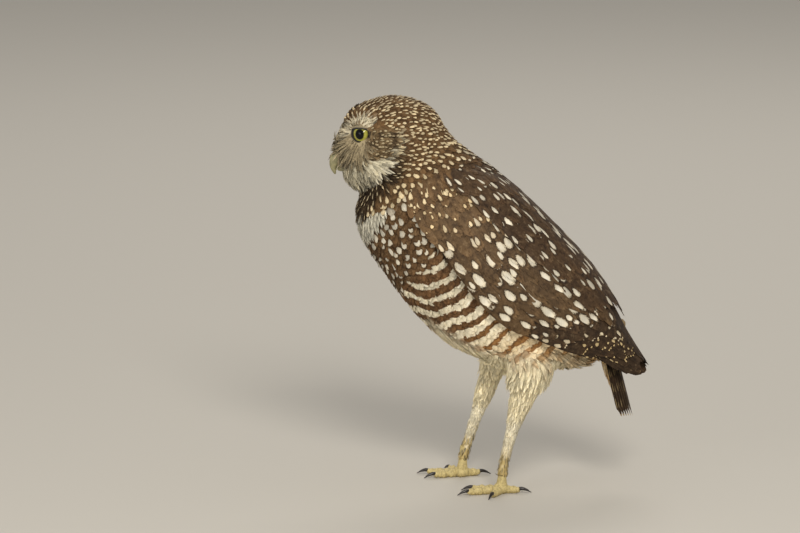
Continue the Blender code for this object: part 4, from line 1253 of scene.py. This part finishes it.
def straight_nets(root, tip, halves, tilts, lay_at, sign):
    """Nets for long feathers from root to tip. lay_at gives the points and outs of places."""
    nets = np.empty((len(root), WING_NET_ROWS, 3, 3))
    outs = np.empty((len(root), WING_NET_ROWS, 3, 3))
    for r in range(WING_NET_ROWS):
        share = r * NET_REACH / (WING_NET_ROWS - 1)
        held = min(share, 1.0)
        here, out = lay_at(root + (tip - root) * held)
        before, _ = lay_at(root + (tip - root) * (held - 0.04))
        ahead = here - before
        here = here + ahead * (share - held) / 0.04
        across = unit(np.cross(out, ahead)) * sign
        for k, u in enumerate((-1, 0, 1)):
            drop = -halves**2 / (2 * WING_RADIUS) * u * u + tilts * u
            nets[:, r, k] = here + across * halves[:, None] * u + out * drop[:, None]
            outs[:, r, k] = out
    return nets, outs


def vane_look(kinds, share, lengths, halves, draw):
    """The look of large feathers, a share of the way from one kind to another."""
    numbers = [np.concatenate((ground, mark, marks, (have, tip, shaft)))
               for ground, mark, marks, have, tip, shaft in (VANE_LOOKS[kind] for kind in kinds)]
    values = mix(numbers[0], numbers[1], share)
    ground, mark, (wide, long, centre, pitch, place) = values[:3], values[3:6], values[6:11]
    have, tip, shaft = values[11:]
    count = len(halves)
    vary = draw.uniform(0.55, 1.15, (count, 1)) * draw.uniform(0.8, 1.25, (count, 2))
    vary[draw.random(count) > have] = 0.01
    places = centre + draw.uniform(-1.8, 2.2, count)
    offset = -place * halves * draw.uniform(0.7, 1.2, count)
    return {
        "length": lengths,
        "half": halves,
        "hand": np.ones(count),
        "lift": np.zeros(count),
        "sink": np.full(count, 1.5),
        "cup": 0.1 * halves,
        "tilt": np.zeros(count),
        "ground": ground * draw.uniform(0.84, 1.16, count)[:, None],
        "mark": mark * draw.uniform(0.84, 1.03, count)[:, None],
        "spots": np.stack((wide * vary[:, 0], long * vary[:, 1], places, np.full(count, pitch)), -1),
        "edges": np.stack((offset, tip * draw.uniform(0.2, 1.5, count), np.zeros(count), np.full(count, shaft)), -1),
        "patch": np.full(count, VANE_PATCH),
    }


def make_wing_coat(side, skin, material):
    """All the feathers of a folded wing, one over the other in tiers."""
    sign = OUTWARD[side]
    coat = Coat()
    long_vane = [Template(OUTLINE_LONG, 12, 7, 0.18, 0, 0.0, 0, seed) for seed in range(3)]
    short_vane = [Template(OUTLINE_ROUND, 9, 7, 0.14, 14, 0.05, 0, seed) for seed in range(4)]
    draw = np.random.default_rng(7 if side == "left" else 8)
    for tiers, count, first, last, *kinds in WING_GROUPS:
        for k in range(tiers):
            tier_share = k / max(tiers - 1, 1)
            tier = np.array(first) + (np.array(last) - first) * tier_share
            share = np.linspace(0, 1, count)[:, None]
            root = tier[0:2] + (tier[4:6] - tier[0:2]) * share
            tip = tier[2:4] + (tier[6:8] - tier[2:4]) * share
            root = root + draw.uniform(-1, 1, root.shape) * (0.008, 1.4)
            tip = tip + draw.uniform(-1, 1, tip.shape) * (0.020, 2.6)
            root[:, 0] *= WING_REACH[side]
            tip[:, 0] *= WING_REACH[side]
            lifts = tier[9] + (tier[10] + (INNER_OVER if side == "left" else 0.0) - tier[9]) * share[:, 0]
            halves = tier[8] * draw.uniform(0.88, 1.14, count)

            def lay_at(place, lifts=lifts):
                return on_mantle(place[:, 0], place[:, 1], lifts, sign)

            tilts = draw.uniform(0.2, 0.5, count)
            nets, outs = straight_nets(root, tip, halves, tilts, lay_at, sign)
            lengths = np.linalg.norm(lay_at(tip)[0] - lay_at(root)[0], axis=1)
            look = vane_look(kinds, smooth(0.1, 0.6, tier_share), lengths, halves, draw)
            places, _, triangles = skin.nearest(nets[:, 1, 1])
            patches = skin.patch_of(places, triangles)
            forms = long_vane if tiers == 1 else short_vane
            form = draw.integers(0, len(forms), count)
            for k, template in enumerate(forms):
                chosen = form == k
                if chosen.any():
                    part = picked(look, chosen)
                    coat.add(template, nets[chosen], outs[chosen], part, patches[chosen], sign > 0)
    coat.make(f"coat_wing_{side}", material, "flight_feathers", f"wing_{side}")


# Tail

# The line of the tail's top as x and z, the number of feathers on each side of the middle one,
# and the tail's other sizes as in the solids.
TAIL_TOP = (72.5, 101.0)
TAIL_TIP = (86.0, 43.5)
TAIL_SIDE_FEATHERS = 5
TAIL_HALF_FEATHER = 6.0
TAIL_ROOT_SIDE = 1.0
TAIL_TIP_SIDE = 2.3
TAIL_STEP = 1.0
TAIL_SHORTER = 0.012
TAIL_ARCH = 45.0


def make_tail_coat(skin, material):
    """The tail's feathers, fanned a little, with the middle one on top."""
    coat = Coat()
    template = Template(OUTLINE_BLUNT, 14, 7, 0.3, 0, 0.0, 0, 3)
    draw = np.random.default_rng(9)
    line = np.subtract(TAIL_TIP, TAIL_TOP)
    down = line / np.linalg.norm(line)
    out = np.array((-down[1], 0.0, down[0]))
    for sign in (-1, 1):
        for k in range(0 if sign < 0 else 1, TAIL_SIDE_FEATHERS + 1):
            nets = np.empty((1, WING_NET_ROWS, 3, 3))
            for r in range(WING_NET_ROWS):
                share = r * NET_REACH / (WING_NET_ROWS - 1)
                x, z = np.array(TAIL_TOP) + line * share * (1 - TAIL_SHORTER * k)
                middle = k * (TAIL_ROOT_SIDE + (TAIL_TIP_SIDE - TAIL_ROOT_SIDE) * share)
                for c, u in enumerate((-1, 0, 1)):
                    y = sign * (middle + u * TAIL_HALF_FEATHER)
                    depth = TAIL_STEP * k + (middle + u * TAIL_HALF_FEATHER) ** 2 / (2 * TAIL_ARCH)
                    nets[0, r, c] = np.array((x, y, z)) - out * depth
            outs = np.broadcast_to(out, nets.shape).copy()
            halves = np.array((TAIL_HALF_FEATHER,))
            length = np.array((float(np.linalg.norm(line)),))
            look = vane_look(("tail", "tail"), 0.0, length, halves, draw)
            places, _, triangles = skin.nearest(nets[:, 0, 1])
            patch = skin.patch_of(places, triangles)
            coat.add(template, nets, outs, look, patch, sign > 0)
    coat.make("coat_tail", material, "flight_feathers", "tail")


# Eyes, bill, feet and claws

# How far outwards the iris looks, which is more than the ball's own seat in the face.
GAZE_OUTWARD = math.radians(55)
GAZE_UPWARD = 0.04
# How far the balls sit from the middle of the solids' balls, as forward, sideways and up.
EYE_SHIFT = (0.9, -0.6, -1.2)
IRIS_RADIUS = 5.4
PUPIL_SHARE = 0.56
CORNEA_RISE = 0.9
# Half width of the lids' opening, its height above and below, how square its upper edge is, and
# how far the dark corner in front reaches, which is the lid's dark skin and painted shade in the corner.
LID_HALF = 6.2
LID_ABOVE = 2.9
LID_BELOW = 4.5
LID_SQUARE = 0.4
LID_CORNER = 1.2
UPPER_BILL = (
    (22, -5.2, 4.6, 5.2),
    (29, -4.6, 4.8, 4.9),
    (33.2, -6.2, 4.2, 4.0),
    (35.6, -9.4, 3.2, 2.8),
    (36.2, -12.8, 1.9, 1.6),
    (35.2, -16.6, 0.5, 0.5),
)
LOWER_BILL = (
    (22, -11.4, 3.2, 4.6),
    (29, -12.2, 2.8, 4.0),
    (32, -13.2, 2.0, 2.8),
    (33.8, -13.9, 0.8, 1.2),
)
NOSTRIL = (31.0, 3.9, -3.4, 0.8)
BILL_HORN = srgb(138, 132, 98)
BILL_RIDGE = srgb(180, 170, 114)
BILL_CERE = srgb(122, 116, 90)
MOUTH = srgb(40, 32, 28)
FOOT_SKIN = srgb(196, 178, 122)
FOOT_SCALE = srgb(210, 194, 144)
FOOT_DARK = srgb(112, 92, 52)
CLAW_HORN = srgb(38, 32, 29)
SHANK_FOOT = {"left": (6.5, -24.0), "right": (-16.5, 23.0)}
# The ankle stub inside the shank's down: how far it leans back, its height and its radius.
STEM_LEAN = 1.6
STEM_HEIGHT = 19.0
STEM_RADIUS = 2.4
TOES = (("inner", -20, 17.0), ("middle", 12, 20.5), ("outer", 62, 15.0), ("hind", 168, 11.0))
FOOT_TURN = {"left": 8.0, "right": 0.0}
TOE_RADIUS = 2.35
TOE_HEIGHT = 1.9
TOE_RISE = 0.3
TOE_SWELL = ((0.0, 1.35), (0.22, 0.92), (0.38, 1.12), (0.55, 0.84), (0.7, 1.02), (0.84, 0.76), (1.0, 0.86))
CLAW_LENGTH = 8.5
CLAW_RADIUS = 1.2
CLAW_ROOT = 1.2
CLAW_CURVE = ((0.0, 2.5, 1.0), (0.35, 2.9, 0.92), (0.7, 2.1, 0.6), (1.0, 0.75, 0.2))


def tinted_material(name, roughness, grain, depth):
    """A surface that takes its colour from the mesh, with a fine grain and bumps of some depth."""
    material = bpy.data.materials.new(name)
    material.use_nodes = True
    nodes, links = material.node_tree.nodes, material.node_tree.links
    shader = nodes["Principled BSDF"]
    tint = nodes.new("ShaderNodeAttribute")
    tint.attribute_name = "tint"
    place = nodes.new("ShaderNodeTexCoord")
    noise = nodes.new("ShaderNodeTexNoise")
    noise.inputs["Scale"].default_value = grain
    noise.inputs["Detail"].default_value = 3
    links.new(place.outputs["Object"], noise.inputs["Vector"])
    tone = nodes.new("ShaderNodeMapRange")
    links.new(noise.outputs[0], tone.inputs[0])
    for socket, number in ((1, 0.3), (2, 0.7), (3, 0.72), (4, 1.18)):
        tone.inputs[socket].default_value = number
    scaled = nodes.new("ShaderNodeVectorMath")
    scaled.operation = "SCALE"
    links.new(tint.outputs["Color"], scaled.inputs[0])
    links.new(tone.outputs[0], scaled.inputs["Scale"])
    links.new(scaled.outputs[0], shader.inputs["Base Color"])
    bump = nodes.new("ShaderNodeBump")
    bump.inputs["Strength"].default_value = 0.6
    bump.inputs["Distance"].default_value = depth * MM
    links.new(noise.outputs[0], bump.inputs["Height"])
    links.new(bump.outputs[0], shader.inputs["Normal"])
    shader.inputs["Roughness"].default_value = roughness
    return material


def tinted(name, points, faces, tints, material, slot, *replaced):
    """A smooth piece with a colour at each point."""
    mesh = mesh_of(name, points, faces)
    mesh.shade_smooth()
    colours = np.concatenate((tints, np.ones((len(tints), 1))), 1).astype(np.float32)
    mesh.attributes.new("tint", "FLOAT_COLOR", "POINT").data.foreach_set("color", colours.ravel())
    return shown(name, mesh, material, slot, *replaced)


def eye_axes(side):
    """An eye's centre, its gaze, and forward and up on its face."""
    centre, _ = eye_place(side)
    sign = -OUTWARD[side]
    centre = centre + np.array(EYE_SHIFT) * (1, sign, 1) @ head_axes()
    gaze = unit(np.array((math.cos(GAZE_OUTWARD), sign * math.sin(GAZE_OUTWARD), GAZE_UPWARD)))
    axis = gaze @ head_axes()
    forward = unit(np.cross(axis, (0.0, 0.0, 1.0))) * sign
    return centre, axis, forward, np.cross(forward, axis) * sign


def on_ball(side, across, up, lift):
    """Points over the eyeball, from places on its face measured along the ball."""
    centre, axis, forward, above = eye_axes(side)
    reach = np.hypot(across, up)
    angle = (reach / EYE_RADIUS)[:, None]
    way = (forward * across[:, None] + above * up[:, None]) / np.maximum(reach, 1e-6)[:, None]
    return centre + (EYE_RADIUS + lift)[:, None] * (axis * np.cos(angle) + way * np.sin(angle))


def iris_material():
    """The eye: a black pupil and an olive yellow iris with fine rays and a dark rim."""
    material = bpy.data.materials.new("iris")
    material.use_nodes = True
    nodes, links = material.node_tree.nodes, material.node_tree.links
    shader = nodes["Principled BSDF"]
    face = nodes.new("ShaderNodeAttribute")
    face.attribute_name = "tint"
    split = nodes.new("ShaderNodeSeparateColor")
    links.new(face.outputs["Color"], split.inputs[0])
    join = nodes.new("ShaderNodeCombineXYZ")
    links.new(split.outputs[1], join.inputs[0])
    links.new(split.outputs[2], join.inputs[1])
    rays = nodes.new("ShaderNodeTexNoise")
    rays.inputs["Scale"].default_value = 9.0
    rays.inputs["Detail"].default_value = 4
    links.new(join.outputs[0], rays.inputs["Vector"])
    shake = nodes.new("ShaderNodeMath")
    shake.operation = "MULTIPLY_ADD"
    links.new(rays.outputs[0], shake.inputs[0])
    shake.inputs[1].default_value = 0.04
    links.new(split.outputs[0], shake.inputs[2])
    ramp = nodes.new("ShaderNodeValToRGB")
    links.new(shake.outputs[0], ramp.inputs[0])
    stops = (
        (0.0, (0.002, 0.002, 0.002)),
        (PUPIL_SHARE, (0.002, 0.002, 0.002)),
        (PUPIL_SHARE + 0.03, srgb(116, 114, 46)),
        (0.70, srgb(170, 166, 76)),
        (0.88, srgb(156, 152, 64)),
        (0.98, srgb(96, 90, 36)),
        (1.02, (0.012, 0.01, 0.008)),
    )
    while len(ramp.color_ramp.elements) < len(stops):
        ramp.color_ramp.elements.new(0.5)
    for element, (place, colour) in zip(ramp.color_ramp.elements, stops):
        element.position = place / 1.25
        element.color = (*map(float, colour), 1)
    dapple = nodes.new("ShaderNodeMapRange")
    links.new(rays.outputs[0], dapple.inputs[0])
    for socket, number in ((1, 0.3), (2, 0.7), (3, 0.70), (4, 1.12)):
        dapple.inputs[socket].default_value = number
    scaled = nodes.new("ShaderNodeVectorMath")
    scaled.operation = "SCALE"
    links.new(ramp.outputs[0], scaled.inputs[0])
    links.new(dapple.outputs[0], scaled.inputs["Scale"])
    links.new(scaled.outputs[0], shader.inputs["Base Color"])
    shader.inputs["Roughness"].default_value = 0.06
    shader.inputs["Specular IOR Level"].default_value = 0.2
    return material


def grid_faces(rows, size, outwards):
    """Faces between closed rings of points, turned so that they look outwards."""
    faces = []
    for r in range(rows - 1):
        for k in range(size):
            a, b = r * size + k, r * size + (k + 1) % size
            faces.append((a, a + size, b + size, b) if outwards else (b, b + size, a + size, a))
    return faces


def make_eye(side, iris, lid):
    """An eyeball with its iris, and the lids around its opening."""
    centre, axis, forward, above = eye_axes(side)
    rings, sides = 44, 64
    around = np.arange(sides) * 2 * math.pi / sides
    way = np.cos(around)[:, None] * forward + np.sin(around)[:, None] * above
    right_handed = OUTWARD[side] < 0
    points, tints = [], []
    for r in range(rings):
        angle = math.pi * 0.62 * (r + 0.15) / rings
        far = angle * EYE_RADIUS
        reach = EYE_RADIUS + CORNEA_RISE * float(smooth(IRIS_RADIUS + 0.4, 0, far))
        points.append(centre + reach * (axis * math.cos(angle) + way * math.sin(angle)))
        share = min(far / IRIS_RADIUS, 1.2)
        share = share * (1 + 0.3 * np.cos(around) ** 2 * max(0.0, 1 - share)) / 1.25
        tints.append(np.stack((share, np.cos(around) / 2 + 0.5, np.sin(around) / 2 + 0.5), -1))
    faces = grid_faces(rings, sides, right_handed)
    faces.append(tuple(range(sides)) if not right_handed else tuple(range(sides))[::-1])
    back = tuple((rings - 1) * sides + k for k in range(sides))
    faces.append(back if right_handed else back[::-1])
    tinted(f"eyeball_{side}", np.concatenate(points), faces, np.concatenate(tints), iris, "eye", f"eye_{side}")

    turn = np.arange(96) * 2 * math.pi / 96
    cos, sin = np.cos(turn), np.sin(turn)
    tall = np.where(sin > 0, LID_ABOVE * np.abs(sin) ** LID_SQUARE, -LID_BELOW * np.abs(sin) ** 0.9)
    corner = LID_CORNER * smooth(0.72, 1.0, cos)
    rows = []
    for out_by, lift in ((-0.2, -0.6), (-0.1, 0.15), (0.15, 0.5), (0.55, 0.55), (1.1, 0.5), (2.4, 0.1)):
        across = cos * (LID_HALF + out_by) + corner * (1 if out_by > 0.3 else 0.3)
        up = tall * (1 + out_by / np.where(sin > 0, 2.6, 4.6))
        rows.append(on_ball(side, across, up, np.full(len(turn), lift)))
    # Lid colours: the four inner rows are the lid's dark skin together with painted shade from the brow above; the
    # darker lores outside them and the extra dark at the corners are painted shade.
    tints = np.repeat(np.stack([LID_DARK] * 4 + [LORES * 0.7, LORES]), len(turn), axis=0)
    corner_painted_shade = np.outer((1, 1, 1, 1, 0.7, 0), smooth(0.88, 0.97, np.abs(cos)))
    tints = mix(tints, LID_DARK, corner_painted_shade.ravel())
    faces = grid_faces(len(rows), len(turn), right_handed)
    tinted(f"lids_{side}", np.concatenate(rows), faces, tints, lid, "eye")


def mandible_points(stations, rings, sides):
    """Rings of points of one mandible in the head's frame, along its own curve."""
    t = np.linspace(0, len(stations) - 1, rings)
    ahead, up, tall, wide = between(stations, t).T
    run = unit(between(stations, t + 0.05)[:, :2] - between(stations, t - 0.05)[:, :2])
    angle = np.arange(sides) * 2 * math.pi / sides
    cos, sin = np.cos(angle), np.sin(angle)
    x = ahead[:, None] - run[:, 1:] * tall[:, None] * cos
    z = up[:, None] + run[:, :1] * tall[:, None] * cos
    y = wide[:, None] * np.sign(sin) * np.abs(sin) ** 0.9
    return np.stack((x, y, z), -1).reshape(-1, 3)


def make_bill(material):
    """Both mandibles, with the nostrils pressed into the upper one."""
    rings, sides = 40, 36
    upper = mandible_points(UPPER_BILL, rings, sides)
    ahead, across, up, radius = NOSTRIL
    tints = mix(np.tile(BILL_HORN, (len(upper), 1)), BILL_CERE, smooth(32.0, 29.5, upper[:, 0]))
    ridge = smooth(1.6, 0.2, np.abs(upper[:, 1])) * smooth(-14, -4, upper[:, 2])
    tints = mix(tints, BILL_RIDGE, 0.8 * ridge)
    for side in (1, -1):
        far = np.linalg.norm((upper - (ahead, side * across, up)) / (1.3, 1.2, 0.9), axis=1)
        hole = smooth(radius * 1.5, radius * 0.6, far)
        upper = upper - np.array((0, side * 0.9, 0)) * hole[:, None]
        tints = mix(tints, MOUTH, hole)
    tinted("mandible_upper", from_head(upper), ring_faces(rings, sides), tints, material, "bill", "bill_upper")
    lower = mandible_points(LOWER_BILL, rings, sides)
    tints = mix(np.tile(BILL_HORN * 0.9, (len(lower), 1)), MOUTH, smooth(-0.4, 0.6, lower[:, 2] + 10.5))
    tinted("mandible_lower", from_head(lower), ring_faces(rings, sides), tints, material, "bill", "bill_lower")


def toe_ways(side):
    """The name, direction and length of each toe of a foot."""
    for toe, heading, length in TOES:
        turn = math.radians(180 - OUTWARD[side] * (heading + FOOT_TURN[side]))
        yield toe, np.array((math.cos(turn), math.sin(turn), 0.0)), length


def tube_points(places, heights, radii, ahead, sides):
    """Rings of points around a line of places in the plane of a toe."""
    across = np.array((-ahead[1], ahead[0], 0.0))
    angle = np.arange(sides) * 2 * math.pi / sides
    rings = places[:, None] + np.array((0, 0, 1.0)) * heights[:, None, None]
    rings = rings + radii[:, None, None] * np.cos(angle)[None, :, None] * across
    return rings + radii[:, None, None] * np.sin(angle)[None, :, None] * np.array((0, 0, 1.0))


def make_foot(side, skin_look, horn):
    """A foot with scaled toes and padded soles, its stem inside the shank's down, and its claws."""
    x, y = SHANK_FOOT[side]
    centre = np.array((x, y, 0.0))
    rings, sides = 60, 24
    around = np.sin(np.arange(sides) * 2 * math.pi / sides)
    points, faces, tints = [], [], []
    for toe, ahead, length in toe_ways(side):
        share = np.linspace(0, 1.06, rings)
        knots = np.interp(share, [key[0] for key in TOE_SWELL], range(len(TOE_SWELL)))
        swell = between(TOE_SWELL, knots)[:, 1]
        wave = np.cos(share * length * 2 * math.pi / 1.7)
        end = np.sqrt(np.clip(1 - (np.clip(share - 0.9, 0, 1) / 0.165) ** 2, 0.02, 1))
        radii = TOE_RADIUS * swell * end
        made = tube_points(centre + ahead * (length * share)[:, None], TOE_HEIGHT + TOE_RISE * swell, radii, ahead, sides)
        made[..., 2] += 0.08 * wave[:, None] * smooth(0.2, 0.8, around)
        start = sum(len(part) for part in points)
        points.append(made.reshape(-1, 3))
        faces += [tuple(start + corner for corner in face) for face in ring_faces(rings, sides)]
        scale = np.clip(wave, 0, 1)[:, None] * smooth(0.1, 0.7, around)
        tints.append(mix(np.tile(FOOT_SKIN, (rings * sides, 1)), FOOT_SCALE, 0.5 * scale.ravel()))
        make_claw(f"talon_{side}_{toe}", centre, ahead, length, horn, f"claw_{side}_{toe}")
    ball = bmesh.new()
    bmesh.ops.create_uvsphere(ball, u_segments=40, v_segments=24, radius=1.0)
    form = np.array([vertex.co for vertex in ball.verts]) * (5.0, 5.0, 3.6) + (x, y, 2.8)
    start = sum(len(part) for part in points)
    points.append(form)
    faces += [tuple(start + vertex.index for vertex in face.verts) for face in ball.faces]
    ball.free()
    tints.append(np.tile(FOOT_SKIN, (len(form), 1)))
    up = np.linspace(0, 1, 24)
    angle = np.arange(sides) * 2 * math.pi / sides
    reach = STEM_RADIUS + 2.4 * (1 - up) ** 4
    stem = np.stack((
        x + STEM_LEAN * up[:, None] + reach[:, None] * np.cos(angle),
        y + reach[:, None] * np.sin(angle),
        np.repeat(2.0 + (STEM_HEIGHT - 2.0) * up[:, None], sides, axis=1),
    ), -1).reshape(-1, 3)
    start += len(form)
    points.append(stem)
    faces += [tuple(start + corner for corner in face) for face in ring_faces(24, sides)]
    tints.append(np.tile(FOOT_SKIN, (len(stem), 1)))
    whole, tone = np.concatenate(points), np.concatenate(tints)
    rough = 0.20 * wobble(whole, 2.2, 31) + 0.12 * wobble(whole, 0.9, 32)
    whole[:, 2] += rough
    whole[:, 1] += 0.7 * rough
    whole[:, 2] = np.maximum(whole[:, 2], 0.0)
    tone = mix(tone, FOOT_DARK, 0.5 * smooth(0.0, -0.35, rough))
    tinted(f"toes_{side}", whole, faces, tone, skin_look, "foot_skin", f"foot_{side}")


def make_claw(name, centre, ahead, length, horn, replaced):
    """One curved claw."""
    rings, sides = 24, 16
    share = np.linspace(0, 1, rings)
    place = np.interp(share, [key[0] for key in CLAW_CURVE], range(len(CLAW_CURVE)))
    _, heights, thick = between(CLAW_CURVE, place).T
    places = centre + ahead * (length - CLAW_ROOT + CLAW_LENGTH * share)[:, None]
    made = tube_points(places, heights, CLAW_RADIUS * thick, ahead, sides).reshape(-1, 3)
    tints = np.tile(CLAW_HORN, (len(made), 1))
    tinted(name, made, ring_faces(rings, sides), tints, horn, "claw", replaced)


# The bird


def show_skin(skin, material):
    """The skin, which carries the same colours and bars as its coat."""
    plumage = Plumage(skin.points)
    count = len(skin.points)
    opaque = np.ones((count, 1))
    edges = np.zeros((count, 4))
    edges[:, 2] = plumage.bars
    write_values(skin.mesh, {
        "ground": np.concatenate((plumage.ground, opaque), 1),
        "mark": np.concatenate((plumage.mark, opaque), 1),
        "spots": np.tile((0.01, 1.0, 1.0, 200.0), (count, 1)),
        "edges": edges,
    })
    write_bars(skin.mesh, bar_phase(skin.points))
    skin.mesh.vertices.foreach_set("co", ((skin.points + ORIGIN) * MM).astype(np.float32).ravel())
    skin.mesh.shade_smooth()
    flesh = ["head", "neck", "torso", *(f"{part}_{side}" for part in ("thigh", "shank") for side in SIDES)]
    shown("skin", skin.mesh, material, "plumage", *flesh)


# The last number is how far back from a feather's tip the painted shade of the feather above begins.
plume = feather_material("body feathers", 0.8, 4.0)
vane = feather_material("flight feathers", 0.65, 8.0)
skin = Skin(skin_mesh())
show_skin(skin, plume)
coats = {name: Coat() for name in dict.fromkeys(region[0] for region in REGIONS.values())}
lay(coats, skin, 21, False)
lay(coats, skin, 22, True)
for name, coat in coats.items():
    coat.make(name, plume, "leg_down" if name == "coat_legs" else "plumage")
for side in SIDES:
    make_wing_coat(side, skin, vane)
make_tail_coat(skin, vane)

iris = iris_material()
lid = tinted_material("lid skin", 0.75, 1500, 0.1)
bill_horn = tinted_material("bill horn", 0.42, 500, 0.08)
foot_look = tinted_material("foot skin", 0.62, 1600, 0.4)
claw_horn = tinted_material("claw horn", 0.3, 700, 0.04)
for side in SIDES:
    make_eye(side, iris, lid)
    make_foot(side, foot_look, claw_horn)
make_bill(bill_horn)

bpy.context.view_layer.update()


# Light and camera


def aimed(made, place, target):
    """Places an object so that it looks at a target."""
    made.location = place
    made.rotation_euler = (Vector(target) - Vector(place)).to_track_quat("-Z", "Y").to_euler()
    bpy.context.scene.collection.objects.link(made)
    return made


def lamp(name, place, size, power, colour):
    """A soft square light aimed at the bird."""
    light = bpy.data.lights.new(name, "AREA")
    light.size = size
    light.energy = power
    light.color = colour
    aimed(bpy.data.objects.new(name, light), place, (0, 0, 0.12))


lamp("key", (0.3, -1.85, 1.4), 0.7, 34, (1.0, 0.96, 0.88))
lamp("fill", (-1.4, -1.5, 0.35), 1.2, 14, (1.0, 0.97, 0.91))
lamp("back", (0.2, 1.5, 1.6), 1.0, 10, (1.0, 0.97, 0.92))

world = bpy.data.worlds.new("world")
world.use_nodes = True
world.node_tree.nodes["Background"].inputs[0].default_value = (0.84, 0.82, 0.78, 1)
world.node_tree.nodes["Background"].inputs[1].default_value = 0.5
bpy.context.scene.world = world
bpy.context.scene.view_settings.view_transform = "Standard"

floor_mesh = bpy.data.meshes.new("floor")
floor_mesh.from_pydata([(-8, -8, 0), (8, -8, 0), (8, 8, 0), (-8, 8, 0)], [], [(0, 1, 2, 3)])
floor = bpy.data.objects.new("floor", floor_mesh)
bpy.context.scene.collection.objects.link(floor)
ground_look = bpy.data.materials.new("floor")
ground_look.use_nodes = True
ground_look.node_tree.nodes["Principled BSDF"].inputs["Base Color"].default_value = (0.56, 0.53, 0.48, 1)
ground_look.node_tree.nodes["Principled BSDF"].inputs["Roughness"].default_value = 0.9
floor_mesh.materials.append(ground_look)

# The camera looks along +Y and 10 degrees down.
VIEW_DOWN = math.radians(10)
VIEW_FAR = 3.0
target = (ORIGIN + np.array((-54.0, 0.0, 133.7))) * MM
eye = target + VIEW_FAR * np.array((0, -math.cos(VIEW_DOWN), math.sin(VIEW_DOWN)))
camera = bpy.data.cameras.new("camera")
camera.lens = 225
camera.sensor_width = 36
bpy.context.scene.camera = aimed(bpy.data.objects.new("camera", camera), tuple(eye), tuple(target))
